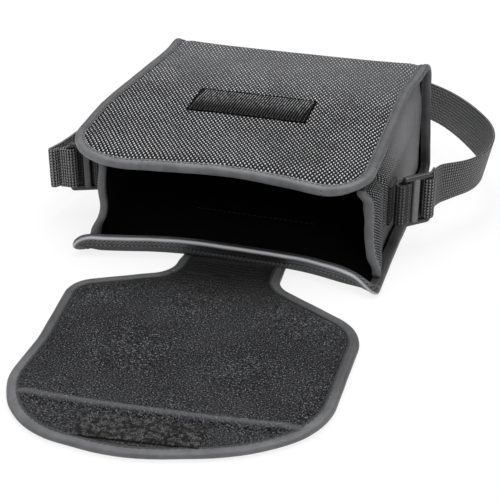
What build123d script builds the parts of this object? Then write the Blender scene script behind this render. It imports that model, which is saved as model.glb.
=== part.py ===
"""Soft binocular case, lying on its back panel with its flap laid open.

Millimetres. The origin is the middle of the back panel's resting face. X runs across the bag,
to the right as seen from the mouth, Y from the mouth to the base, and Z up, from back to front.
"""
from build123d import *
import os
from math import cos, hypot, radians, sin, tan

os.makedirs("parts", exist_ok=True)

# Bag, outside sizes
bag_length = 165.0  # mouth edge to the outside of the base
base_width = 173.0
base_depth = 75.0  # back to front at the base
mouth_depth = 54.0  # back to front at the mouth
base_back_radius = 10.0
base_front_radius = 8.0

# Wall layers, outside in
fabric_thickness = 0.8
padding_thickness = 3.4
lining_thickness = 0.8
board_thickness = 1.0
board_margin = 12.0  # bare padding round each board
board_past_rise = 4.0

# Back panel's mouth: a gentle rise over the flap's sewn end, then a lip that curls up
rise_start = 72.0  # from the mouth edge
rise_end = 56.0
rise_height = 1.4
lip_start = 24.0
lip_kink = 4.5
lip_kink_height = 2.2
lip_angle = 37.0  # degrees to the ground, at the edge
rise_radius = 60.0
lip_radius = 22.0
back_corner_radius = 9.0

# Front panel's outline, measured from the base's side line, outwards
left_swell = 16.0
left_swell_at = 66.0  # from the mouth edge
left_swell_radius = 60.0
left_corner_out = 11.0
left_corner_radius = 24.0
right_waist = 7.0  # inwards
right_waist_at = 90.0
right_waist_radius = 150.0
right_corner_in = 2.5
right_corner_radius = 20.0

# Back panel's outline at the mouth, outwards from the base's side line
back_left_out = -1.5
back_right_out = 5.5

# Binding tape
binding_width = 6.0
tape_thickness = 0.6
edge_gap = 0.8  # the panel's edge stops this far inside the tape's fold
tape_past_corner = 4.0  # the mouth's tapes end this far past the corners' rounding

# Side panels, called gussets, set in from the front and back panels' edges
gusset_inset = 6.5
gusset_bend_at = 22.0  # from the mouth edge
gusset_bulge_at = 62.0
left_crease = 4.0  # how far the left gusset folds in at mid height, at the mouth
right_mouth_slant = 6.0  # the right gusset's mouth edge leans back this far towards the front
side_bulge = 0.5  # the gussets' fullest point, under the tab, from the base's side line
bend_in = 2.0  # from the fullest point inwards, at the bend
base_swell = 1.5  # mid height swell at the base
right_mouth_in = 3.0  # from the fullest point inwards, at the right gusset's mouth

# Hook tape on the front panel
hook_length = 75.0
hook_width = 28.0
hook_thickness = 1.6
hook_from_mouth = 69.0
hook_left_of_middle = 8.5

# Flap, in its own directions: it is sewn on a little askew, and its right side hangs lower than its left.
# Its corners are measured outwards from its middle line, and from the first fold line or the tip.
flap_turn = 6.0  # degrees
flap_right = 6.0
fold_from_mouth = 13.0  # first fold line, in front of the mouth edge
cover_length = 56.0  # first fold line to second fold line
neck_left = 28.5
neck_right = 33.0
left_neck_end = 7.0  # from the first fold line to the neck's inner corner
right_neck_end = 12.0
neck_fillet = 16.0
left_shoulder = 80.0
left_shoulder_at = 27.5
left_shoulder_radius = 18.0
right_shoulder = 86.0
right_shoulder_at = 46.5
right_shoulder_radius = 28.0
left_tip_corner = 76.5
left_tip_rise = 22.0  # from the tip back to the corner
right_tip_corner = 78.0
right_tip_rise = 33.5
tip_corner_radius = 28.0
tip_left_of_middle = 16.0
flap_reach = 171.0  # first fold line to the tip
crease_from_tip = 34.0  # the board ends here
crease_slope = 4.0
flap_padding = 2.4
root_reach = 60.0  # how far the flap's end runs under the back panel

# Loop tape on the flap's tip
loop_length = 60.0
loop_width = 19.0
loop_thickness = 1.6
loop_from_tip = 10.0
loop_left_of_middle = 5.0

# Strap, tabs and buckles
webbing_width = 25.0
webbing_thickness = 1.6
strap_height = 30.0  # the webbing's middle above the ground
tab_from_mouth = 46.0
tab_patch_length = 24.0
tab_margin = 1.5  # the gusset stands upright this far above and below the tab
tab_gap = 0.3  # between the sewn patch and the tab's loop
bar_width = 3.0
buckle_thickness = 2.8
slot_length = 5.2
rail_height = 2.8
slot_play = 0.4  # above and below the webbing
bar_play = 0.15
buckle_corner_radius = 2.4
buckle_edge = 0.5
tab_run = 3.4  # from the tab's flat end to its bar, centre to centre
left_tab_shift = -0.5  # the tab's flat end from the tab's middle, towards the base
right_tab_shift = 2.5
right_buckle_turn = 44.0  # degrees from straight out, towards the base
left_buckle_turn = -23.5
fold_over = 20.0  # webbing doubled back past the buckle's bar
strap_fold_radius = 4.0

# Values that follow
mouth_y = -bag_length / 2
base_y = bag_length / 2
half_base = base_width / 2
wall_thickness = fabric_thickness + padding_thickness + lining_thickness
front_slope = (base_depth - mouth_depth) / bag_length
split_height = mouth_depth * 0.6  # parts the front panel's outline from the back panel's
reach = 2 * base_width  # cutting shapes run this far across
beyond = 40.0  # and this far past the base, the mouth or the flap
spare = 5.0  # and this far past a face that they cut through
side_face = half_base + side_bulge
tab_y = mouth_y + tab_from_mouth
tab_low = strap_height - webbing_width / 2
tab_high = strap_height + webbing_width / 2


# Regions that the layers are cut from

def wall_prism(inset):
    """Everything inside the wrap's outer face, moved inwards by inset, over a long width."""
    lip_rise = (lip_kink + beyond) * tan(radians(lip_angle))
    corners = [
        (base_y, 0),
        (base_y, base_depth),
        (mouth_y - beyond, mouth_depth - front_slope * beyond),
        (mouth_y - beyond, lip_kink_height + lip_rise),
        (mouth_y + lip_kink, lip_kink_height),
        (mouth_y + lip_start, rise_height),
        (mouth_y + rise_end, rise_height),
        (mouth_y + rise_start, 0),
    ]
    radii = [base_back_radius, base_front_radius, 0, 0, lip_radius, lip_radius, rise_radius, rise_radius]
    with BuildPart() as prism:
        with BuildSketch(Plane.YZ):
            with BuildLine():
                FilletPolyline(corners, radius=radii, close=True)
            make_face()
            if inset != 0:
                offset(amount=-inset)
        extrude(amount=reach, both=True)
    return prism.part


def front_corners():
    """Front panel's outline seen from above, with its corner radii."""
    past_base = base_y + beyond
    corners = [
        (-half_base, past_base),
        (-half_base, base_y),
        (-half_base - left_swell, mouth_y + left_swell_at),
        (-half_base - left_corner_out, mouth_y),
        (half_base - right_corner_in, mouth_y),
        (half_base - right_waist, mouth_y + right_waist_at),
        (half_base, base_y),
        (half_base, past_base),
    ]
    radii = [0, 0, left_swell_radius, left_corner_radius, right_corner_radius, right_waist_radius, 0, 0]
    return corners, radii


def back_corners():
    """Back panel's outline seen from above, with its corner radii."""
    past_base = base_y + beyond
    corners = [
        (-half_base, past_base),
        (-half_base, base_y),
        (-half_base - back_left_out, mouth_y),
        (half_base + back_right_out, mouth_y),
        (half_base, base_y),
        (half_base, past_base),
    ]
    return corners, [0, 0, back_corner_radius, back_corner_radius, 0, 0]


def plan_prism(inset):
    """Everything inside the panels' outlines, moved inwards by inset."""
    low = -beyond
    high = base_depth + beyond
    with BuildPart() as prism:
        for outline, bottom, top in (
            (front_corners(), split_height, high),
            (back_corners(), low, split_height),
        ):
            corners, radii = outline
            with BuildSketch(Plane.XY.offset(bottom)):
                with BuildLine():
                    FilletPolyline(corners, radius=radii, close=True)
                make_face()
                if inset != 0:
                    offset(amount=-inset)
            extrude(amount=top - bottom)
    return prism.part


def box_between(low, high):
    """A box from its lowest corner to its highest."""
    size = [b - a for a, b in zip(low, high)]
    with BuildPart() as block:
        with Locations(low):
            Box(*size, align=(Align.MIN, Align.MIN, Align.MIN))
    return block.part


def edge_between(low_point, high_point, distance):
    """X of a straight edge at a distance from the mouth."""
    (x_low, d_low), (x_high, d_high) = low_point, high_point
    return x_low + (x_high - x_low) * (distance - d_low) / (d_high - d_low)


def gusset_block(side, depth):
    """Everything inboard of a gusset's outer face, moved inwards by depth. Side is -1 or 1."""
    if side < 0:
        corner = (half_base + left_corner_out, 0)
        turn = (half_base + left_swell, left_swell_at)
        back_edge = half_base + back_left_out
        mouth_top = half_base + left_corner_out - left_corner_radius
        mouth_middle = mouth_top - left_crease
    else:
        corner = (half_base - right_corner_in, 0)
        turn = (half_base - right_waist, right_waist_at)
        back_edge = half_base + back_right_out
        mouth_top = half_base - right_corner_in - gusset_inset
        mouth_middle = side_face - right_mouth_in
    base_inner = half_base - gusset_inset
    stations = []
    for distance in (0.0, gusset_bend_at, gusset_bulge_at, bag_length):
        front_edge = edge_between(corner, turn, distance) - gusset_inset
        bottom = edge_between((back_edge, 0), (half_base, bag_length), distance) - gusset_inset
        if distance == 0.0:
            across = (bottom, mouth_middle, mouth_top)
        elif distance == gusset_bend_at:
            across = (bottom, side_face - bend_in, front_edge)
        elif distance == gusset_bulge_at:
            across = (bottom, side_face, front_edge)
        else:
            across = (base_inner, base_inner + base_swell, base_inner)
        top_z = mouth_depth + front_slope * distance - wall_thickness
        stations.append((mouth_y + distance, across, top_z))
    stations.append((base_y + beyond, stations[-1][1], stations[-1][2]))
    foot_height = rise_height + wall_thickness + tape_thickness
    with BuildPart() as block:
        for y, (bottom, middle, top), top_z in stations:
            outer = [(bottom, -beyond), (bottom, foot_height)]
            outer += [(middle, tab_low - tab_margin), (middle, tab_high + tab_margin)]
            outer += [(top, top_z), (top, base_depth + beyond)]
            points = [(side * (x - depth), z) for x, z in outer]
            points += [(0, base_depth + beyond), (0, -beyond)]
            with BuildSketch(Plane(origin=(0, y, 0), x_dir=(1, 0, 0), z_dir=(0, -1, 0))):
                with BuildLine():
                    Polyline(points, close=True)
                make_face()
        loft(ruled=True)
    return block.part


# Wrap of front, base and back
outer_region = wall_prism(0)
fabric_region = wall_prism(fabric_thickness)
board_region = wall_prism(fabric_thickness + board_thickness)
padding_region = wall_prism(fabric_thickness + padding_thickness)
inner_region = wall_prism(wall_thickness)
tape_outer_region = wall_prism(-tape_thickness)
tape_inner_region = wall_prism(wall_thickness + tape_thickness)
panel_plan = plan_prism(0)
core_plan = plan_prism(edge_gap)
tape_plan = plan_prism(binding_width)

# The wrap's wall without its tape: its rim stays clear of the ground by the tape's thickness
with BuildPart() as wrap_core:
    add(outer_region)
    add(inner_region, mode=Mode.SUBTRACT)
    add(core_plan, mode=Mode.INTERSECT)

with BuildPart() as rim_zone:
    add(panel_plan)
    add(tape_plan, mode=Mode.SUBTRACT)

front_y = mouth_y - spare
back_y = base_y + spare
with BuildPart() as rim_core:
    add(wrap_core.part)
    add(box_between((-reach, front_y, tape_thickness), (reach, back_y, reach)), mode=Mode.INTERSECT)

with BuildPart() as all_binding:
    add(tape_outer_region)
    add(tape_inner_region, mode=Mode.SUBTRACT)
    add(rim_zone.part, mode=Mode.INTERSECT)
    add(box_between((-reach, front_y, 0), (reach, back_y, reach)), mode=Mode.INTERSECT)
    add(rim_core.part, mode=Mode.SUBTRACT)

wrap_layers = (
    ("outer_shell", outer_region, fabric_region),
    ("shell_padding", fabric_region, padding_region),
    ("shell_lining", padding_region, inner_region),
)

# Boards between the fabric and the padding
board_half = half_base - board_margin
board_end = base_y - board_margin
past_rise = mouth_y + rise_start + board_past_rise
board_corners = {
    "front_board": (
        (-board_half, mouth_y + board_margin, split_height), (board_half - right_waist, board_end, reach),
    ),
    "base_board": (
        (-board_half, base_y - wall_thickness, board_margin), (board_half, base_y, base_depth - board_margin),
    ),
    "back_board": ((-board_half, past_rise, 0), (board_half, board_end, wall_thickness)),
}
board_parts = []
for board_name, (low, high) in board_corners.items():
    with BuildPart() as board:
        add(fabric_region)
        add(board_region, mode=Mode.SUBTRACT)
        add(box_between(low, high), mode=Mode.INTERSECT)
    board.part.label = board_name
    export_step(board.part, f"parts/{board_name}.step")
    board_parts.append(board.part)

for layer_name, outside, inside in wrap_layers:
    with BuildPart() as layer:
        add(outside)
        add(inside, mode=Mode.SUBTRACT)
        add(core_plan, mode=Mode.INTERSECT)
        add(all_binding.part, mode=Mode.SUBTRACT)
        if layer_name == "shell_padding":
            for board_part in board_parts:
                add(board_part, mode=Mode.SUBTRACT)
    layer.part.label = layer_name
    export_step(layer.part, f"parts/{layer_name}.step")

# Binding tape over the wrap's edges, in four lengths
front_tape_end = mouth_y + left_corner_radius + tape_past_corner
back_tape_end = mouth_y + back_corner_radius + tape_past_corner
tape_boxes = {
    "front_binding": ((-reach, front_y, split_height), (reach, front_tape_end, reach)),
    "back_binding": ((-reach, front_y, 0), (reach, back_tape_end, split_height)),
}
for tape_name, (low, high) in tape_boxes.items():
    with BuildPart() as tape:
        add(all_binding.part)
        add(box_between(low, high), mode=Mode.INTERSECT)
    tape.part.label = tape_name
    export_step(tape.part, f"parts/{tape_name}.step")

for side, side_name in ((-1, "left"), (1, "right")):
    with BuildPart() as side_tape:
        add(all_binding.part)
        low_x, high_x = sorted((0, side * reach))
        add(box_between((low_x, front_y, -spare), (high_x, back_y, reach)), mode=Mode.INTERSECT)
        for low, high in tape_boxes.values():
            add(box_between(low, high), mode=Mode.SUBTRACT)
    side_tape.part.label = f"side_binding_{side_name}"
    export_step(side_tape.part, f"parts/side_binding_{side_name}.step")


def behind_mouth(side, distance):
    """Everything behind a gusset's mouth edge, moved back by distance."""
    slant = right_mouth_slant if side > 0 else 0.0
    slant_step = slant / mouth_depth
    low, high = -beyond, base_depth + beyond
    edge_y = mouth_y + distance
    with BuildPart() as region:
        with BuildSketch(Plane.YZ):
            with BuildLine():
                Polyline(
                    (edge_y + slant_step * low, low), (base_y, low), (base_y, high),
                    (edge_y + slant_step * high, high), close=True,
                )
            make_face()
        extrude(amount=reach, both=True)
    return region.part


# Gussets, each of three layers, with tape over the mouth edge
patch_face = side_face + webbing_thickness
for side, side_name in ((-1, "left"), (1, "right")):
    depths = [0, fabric_thickness, fabric_thickness + padding_thickness, wall_thickness]
    blocks = [gusset_block(side, depth) for depth in depths]
    gusset_core = []
    for index, layer_name in enumerate(("outer", "padding", "lining")):
        with BuildPart() as gusset_layer:
            add(blocks[index])
            add(blocks[index + 1], mode=Mode.SUBTRACT)
            add(inner_region, mode=Mode.INTERSECT)
            add(behind_mouth(side, edge_gap), mode=Mode.INTERSECT)
            add(all_binding.part, mode=Mode.SUBTRACT)
        gusset_layer.part.label = f"gusset_{side_name}_{layer_name}"
        export_step(gusset_layer.part, f"parts/gusset_{side_name}_{layer_name}.step")
        gusset_core.append(gusset_layer.part)

    with BuildPart() as gusset_tape:
        add(gusset_block(side, -tape_thickness))
        add(gusset_block(side, wall_thickness + tape_thickness), mode=Mode.SUBTRACT)
        add(inner_region, mode=Mode.INTERSECT)
        add(behind_mouth(side, 0), mode=Mode.INTERSECT)
        add(behind_mouth(side, binding_width), mode=Mode.SUBTRACT)
        add(all_binding.part, mode=Mode.SUBTRACT)
        for layer_part in gusset_core:
            add(layer_part, mode=Mode.SUBTRACT)
    gusset_tape.part.label = f"gusset_binding_{side_name}"
    export_step(gusset_tape.part, f"parts/gusset_binding_{side_name}.step")

    # The strap tab's ends, sewn flat on the gusset
    low_x, high_x = sorted((0, side * patch_face))
    patch_half = tab_patch_length / 2
    with BuildPart() as tab_patch:
        add(box_between((low_x, tab_y - patch_half, tab_low), (high_x, tab_y + patch_half, tab_high)))
        add(blocks[0], mode=Mode.SUBTRACT)
    tab_patch.part.label = f"tab_patch_{side_name}"
    export_step(tab_patch.part, f"parts/tab_patch_{side_name}.step")

# Hook tape on the front panel
hook_middle = -hook_left_of_middle
hook_low = (hook_middle - hook_length / 2, mouth_y + hook_from_mouth, split_height)
hook_high = (hook_middle + hook_length / 2, mouth_y + hook_from_mouth + hook_width, reach)
with BuildPart() as hook_patch:
    add(wall_prism(-hook_thickness))
    add(outer_region, mode=Mode.SUBTRACT)
    add(box_between(hook_low, hook_high), mode=Mode.INTERSECT)
hook_patch.part.label = "hook_patch"
export_step(hook_patch.part, "parts/hook_patch.step")

# Flap: its plan, its side view and its folds
fold_radius = tape_thickness + (fabric_thickness + flap_padding + lining_thickness) / 2
fold_gap = 0.3
flap_across = Vector(cos(radians(flap_turn)), sin(radians(flap_turn)), 0)
flap_inwards = Vector(-sin(radians(flap_turn)), cos(radians(flap_turn)), 0)
flap_start = Vector(flap_right, mouth_y - fold_from_mouth, 0)
flap_plan = Plane(origin=flap_start, x_dir=flap_across, z_dir=(0, 0, 1))
flap_side = Plane(origin=flap_start, x_dir=flap_inwards, z_dir=flap_across)
fabric_top = tape_thickness + fabric_thickness
board_top = fabric_top + flap_padding
lining_top = board_top + lining_thickness
thin_top = fabric_top + lining_thickness


def flap_prism(inset):
    """Everything inside the flap's outline, moved inwards by inset."""
    right_side = [(neck_right, beyond), (neck_right, -right_neck_end)]
    right_side += [(right_shoulder, -right_shoulder_at), (right_tip_corner, right_tip_rise - flap_reach)]
    left_side = [(-left_tip_corner, left_tip_rise - flap_reach), (-left_shoulder, -left_shoulder_at)]
    left_side += [(-neck_left, -left_neck_end), (-neck_left, beyond)]
    radii = [neck_fillet, right_shoulder_radius, tip_corner_radius]
    radii += [tip_corner_radius, left_shoulder_radius, neck_fillet]
    with BuildPart() as prism:
        with BuildSketch(flap_plan) as outline:
            with BuildLine():
                Polyline(right_side)
                ThreePointArc(right_side[-1], (-tip_left_of_middle, -flap_reach), left_side[0])
                Polyline(left_side)
                Line(left_side[-1], right_side[0])
            make_face()
            for place, radius in zip(right_side[1:] + left_side[:-1], radii):
                corner = outline.vertices().sort_by_distance(Vector(*place, 0))[0]
                fillet(corner, radius=radius)
            if inset != 0:
                offset(amount=-inset)
        extrude(amount=reach, both=True)
    return prism.part


def flap_layer(points):
    """A layer from its side view, over the flap's whole width."""
    with BuildPart() as layer:
        with BuildSketch(flap_side):
            with BuildLine():
                Polyline(points, close=True)
            make_face()
        extrude(amount=reach, both=True)
    return layer.part


def fold_region(start, end):
    """From a fold line, with a round end about it, to the flap's end or next fold."""
    with BuildPart() as region:
        with BuildSketch(flap_side):
            with BuildLine():
                low, high = -fold_radius, 3 * fold_radius
                Polyline((-start, low), (-end, low), (-end, high), (-start, high), close=True)
            make_face()
            with Locations((-start, fold_radius)):
                Circle(fold_radius)
        extrude(amount=reach, both=True)
    return region.part


past_tip = flap_reach + beyond
crease_at = flap_reach - crease_from_tip
crease_end = crease_at + crease_slope
flap_layers = {
    "outer": flap_layer([
        (beyond, tape_thickness), (beyond, fabric_top), (-past_tip, fabric_top), (-past_tip, tape_thickness),
    ]),
    "board": flap_layer([
        (beyond, fabric_top), (beyond, board_top), (-crease_at, board_top), (-crease_end, fabric_top),
    ]),
    "lining": flap_layer([
        (beyond, board_top), (beyond, lining_top), (-crease_at, lining_top), (-crease_end, thin_top),
        (-past_tip, thin_top), (-past_tip, fabric_top), (-crease_end, fabric_top), (-crease_at, board_top),
    ]),
}
tape_envelope = flap_layer([
    (beyond, 0), (beyond, lining_top + tape_thickness), (-crease_at, lining_top + tape_thickness),
    (-crease_end, thin_top + tape_thickness), (-past_tip, thin_top + tape_thickness), (-past_tip, 0),
])
flap_outline = flap_prism(0)
flap_core = flap_prism(edge_gap)
flap_tape_inside = flap_prism(binding_width)

fold_ends = {
    "flap_top": fold_region(0, cover_length - fold_radius - fold_gap),
    "flap_front": fold_region(cover_length, past_tip),
}
for region_name, region in fold_ends.items():
    cores = []
    for layer_name, layer_part in flap_layers.items():
        with BuildPart() as flap_piece:
            add(layer_part)
            add(flap_core, mode=Mode.INTERSECT)
            add(region, mode=Mode.INTERSECT)
        piece_name = f"{region_name}_{layer_name}"
        flap_piece.part.label = piece_name
        export_step(flap_piece.part, f"parts/{piece_name}.step")
        cores.append(flap_piece.part)
    with BuildPart() as flap_tape:
        add(tape_envelope)
        add(flap_outline, mode=Mode.INTERSECT)
        add(flap_tape_inside, mode=Mode.SUBTRACT)
        add(region, mode=Mode.INTERSECT)
        for core in cores:
            add(core, mode=Mode.SUBTRACT)
    tape_name = f"{region_name}_binding"
    flap_tape.part.label = tape_name
    export_step(flap_tape.part, f"parts/{tape_name}.step")

# The flap's own end, sewn under the back panel
with BuildPart() as flap_root:
    with BuildSketch(flap_plan):
        with Locations((-neck_left, fold_radius + fold_gap)):
            Rectangle(neck_left + neck_right, root_reach + fold_from_mouth, align=(Align.MIN, Align.MIN))
    extrude(amount=lining_top)
    add(outer_region, mode=Mode.SUBTRACT)
    add(all_binding.part, mode=Mode.SUBTRACT)
    add(box_between((-reach, -reach, 0), (reach, mouth_y + root_reach, reach)), mode=Mode.INTERSECT)
flap_root.part.label = "flap_root"
export_step(flap_root.part, "parts/flap_root.step")

# Loop tape on the flap's thin tip
with BuildPart() as loop_patch:
    with BuildSketch(flap_plan.offset(thin_top)):
        with Locations((-loop_left_of_middle, loop_from_tip - flap_reach)):
            Rectangle(loop_length, loop_width, align=(Align.CENTER, Align.MIN))
    extrude(amount=loop_thickness)
loop_patch.part.label = "loop_patch"
export_step(loop_patch.part, "parts/loop_patch.step")

# Buckles: flat frames with two slots, an inner bar in the tab and an outer bar in the strap
inside_radius = hypot(bar_width, buckle_thickness) / 2 + bar_play
outside_radius = inside_radius + webbing_thickness
bar_pitch = 2 * (slot_length + bar_width)
buckle_height = webbing_width + 2 * slot_play + 2 * rail_height
loop_face = patch_face + tab_gap
buckle_turns = {-1: left_buckle_turn, 1: right_buckle_turn}
tab_shifts = {-1: left_tab_shift, 1: right_tab_shift}
bar_points = {}
for side, side_name in ((-1, "left"), (1, "right")):
    turn = radians(buckle_turns[side])
    tab_end = Vector(side * (loop_face + outside_radius), tab_y + tab_shifts[side], 0)
    outwards = Vector(side * cos(turn), sin(turn), 0)
    inner_bar = tab_end + outwards * tab_run
    outer_bar = inner_bar + outwards * bar_pitch
    bar_points[side] = outer_bar
    sideways = Vector(-outwards.Y, outwards.X, 0) * -1
    frame_middle = (inner_bar + outer_bar) * 0.5 + Vector(0, 0, strap_height)
    frame_plane = Plane(origin=frame_middle, x_dir=outwards, z_dir=sideways)

    with BuildPart() as buckle:
        with BuildSketch(frame_plane):
            Rectangle(bar_pitch + bar_width, buckle_height)
            with Locations((-bar_pitch / 4, 0), (bar_pitch / 4, 0)):
                Rectangle(slot_length, webbing_width + 2 * slot_play, mode=Mode.SUBTRACT)
        extrude(amount=buckle_thickness / 2, both=True)
        corner_edges = buckle.edges().filter_by(Axis.Z, reverse=True).filter_by(
            lambda edge: abs(edge.length - buckle_thickness) < 0.01
        )
        outer_corners = corner_edges.sort_by(lambda edge: -abs((edge.center() - frame_middle).length))[0:4]
        fillet(outer_corners, radius=buckle_corner_radius)
        rim_edges = buckle.faces().filter_by(
            lambda face: abs(abs(face.normal_at().dot(sideways)) - 1) < 0.01
        ).edges()
        chamfer(rim_edges, length=buckle_edge)
    buckle.part.label = f"buckle_{side_name}"
    export_step(buckle.part, f"parts/buckle_{side_name}.step")

    # The tab's webbing, looped round the inner bar
    with BuildPart() as tab_loop:
        with BuildSketch(Plane.XY.offset(tab_low)):
            with BuildLine():
                Line(tab_end, inner_bar)
            trace(line_width=2 * outside_radius)
            with Locations(tab_end, inner_bar):
                Circle(outside_radius)
            with BuildLine():
                Line(tab_end, inner_bar)
            trace(line_width=2 * inside_radius, mode=Mode.SUBTRACT)
            with Locations(tab_end, inner_bar):
                Circle(inside_radius, mode=Mode.SUBTRACT)
        extrude(amount=webbing_width)
    tab_loop.part.label = f"tab_loop_{side_name}"
    export_step(tab_loop.part, f"parts/tab_loop_{side_name}.step")

# Strap webbing on edge: from the right buckle round behind the base to the fold by the left buckle
strap_route = [
    bar_points[1],
    (half_base + 26.5, tab_y + 26),
    (half_base + 35.5, tab_y + 43),
    (half_base + 43.5, tab_y + 61),
    (half_base + 46.5, tab_y + 82),
    (half_base + 43.5, base_y - 17),
    (half_base + 33.5, base_y + 5),
    (half_base + 17.5, base_y + 29),
    (half_base - 6.5, base_y + 52),
    (half_base - 41.5, base_y + 68),
    (5, base_y + 73),
    (-half_base + 51.5, base_y + 67),
    (-half_base + 16.5, base_y + 49),
    (-half_base - 8.5, base_y + 20),
    (-half_base - 22.5, base_y - 17),
    (-half_base - 29.5, base_y - 57),
    (-half_base - 40.5, tab_y - 15),
    bar_points[-1],
]
arc_share = 0.45  # of a corner's shorter run
doubled_share = 0.6  # of the run beside the buckle, at most


def bend_radii(points):
    """The largest radius that each corner's two runs allow, and the tight fold's own."""
    places = [Vector(point) for point in points]
    radii = []
    for before, here, after in zip(places, places[1:], places[2:]):
        shorter = min((here - before).length, (after - here).length)
        half_turn = radians((here - before).get_angle(after - here)) / 2
        radii.append(arc_share * shorter / tan(half_turn))
    radii[-1] = strap_fold_radius
    return radii


with BuildPart() as strap_webbing:
    with BuildSketch(Plane.XY.offset(tab_low)):
        with BuildLine() as strap_line:
            FilletPolyline(strap_route, radius=bend_radii(strap_route))
        strap_length = sum(edge.length for edge in strap_line.edges())
        trace(line_width=webbing_thickness)
        for start, towards in ((strap_route[0], strap_route[1]), (strap_route[-1], strap_route[-2])):
            run = Vector(towards) - Vector(start)
            doubled = min(fold_over, doubled_share * run.length)
            with BuildLine():
                Line(start, Vector(start) + run.normalized() * doubled)
            trace(line_width=2 * webbing_thickness)
        with Locations(strap_route[0], strap_route[-1]):
            Circle(outside_radius)
            Circle(inside_radius, mode=Mode.SUBTRACT)
    extrude(amount=webbing_width)
strap_webbing.part.label = "strap_webbing"
export_step(strap_webbing.part, "parts/strap_webbing.step")
print(f"strap webbing, {strap_length:.0f} mm from buckle to buckle")
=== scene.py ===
"""Soft binocular case, lying on its back panel with its flap laid open: its looks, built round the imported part.

Sizes are in millimetres and become metres where a mesh is made. X runs across the bag, Y from the mouth to the
base, Z up, and the origin is the middle of the back panel's resting face.
"""
from math import cos, pi, radians, sin

import bmesh
import bpy
import numpy as np
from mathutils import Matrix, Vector


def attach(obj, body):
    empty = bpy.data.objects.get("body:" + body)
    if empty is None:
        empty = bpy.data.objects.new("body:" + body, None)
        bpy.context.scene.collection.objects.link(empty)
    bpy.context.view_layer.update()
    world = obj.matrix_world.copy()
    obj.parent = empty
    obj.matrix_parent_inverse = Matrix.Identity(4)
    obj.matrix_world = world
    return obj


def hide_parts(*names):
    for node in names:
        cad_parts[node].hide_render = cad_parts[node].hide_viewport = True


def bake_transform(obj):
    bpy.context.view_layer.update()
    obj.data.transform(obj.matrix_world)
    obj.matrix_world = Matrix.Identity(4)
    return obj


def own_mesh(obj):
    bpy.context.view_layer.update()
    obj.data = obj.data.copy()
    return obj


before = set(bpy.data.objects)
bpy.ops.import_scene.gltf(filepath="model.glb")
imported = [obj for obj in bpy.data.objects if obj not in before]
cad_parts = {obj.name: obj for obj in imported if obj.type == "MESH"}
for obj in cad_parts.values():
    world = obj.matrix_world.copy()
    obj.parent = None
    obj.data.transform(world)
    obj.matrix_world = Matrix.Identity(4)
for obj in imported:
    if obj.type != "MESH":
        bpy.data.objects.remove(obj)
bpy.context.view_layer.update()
scene = bpy.context.scene
scene.view_settings.view_transform = "Standard"

# Camera: it stands before the mouth and to the right of it, and looks down on the case at the photograph's
# angle.
look_down, look_left = 28.05, 17.93
camera_data = bpy.data.cameras.new("camera")
camera_data.lens, camera_data.sensor_width = 86.4, 36.0
camera_data.clip_start, camera_data.clip_end = 0.02, 20.0
camera = bpy.data.objects.new("camera", camera_data)
camera.location = (0.2017, -0.6530, 0.3314)
camera.rotation_euler = (radians(90 - look_down), 0, radians(look_left))
scene.collection.objects.link(camera)
scene.camera = camera


# Ground and light: a white table that keeps a soft shadow, a wide lamp overhead and two low fills. The camera
# sees the table and the sky as white, and the lamps light the case at a plain level.
white = (1.0, 1.0, 1.0, 1.0)
ground_half, ground_z = 6.0, -0.0003


def add_node(tree, kind, values=(), **settings):
    """A node with its settings made and its inputs filled, by numbers or by links."""
    made = tree.nodes.new(kind)
    for name, value in settings.items():
        setattr(made, name, value)
    for name, value in dict(values).items():
        if isinstance(value, bpy.types.NodeSocket):
            tree.links.new(value, made.inputs[name])
        else:
            made.inputs[name].default_value = value
    return made


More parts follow.
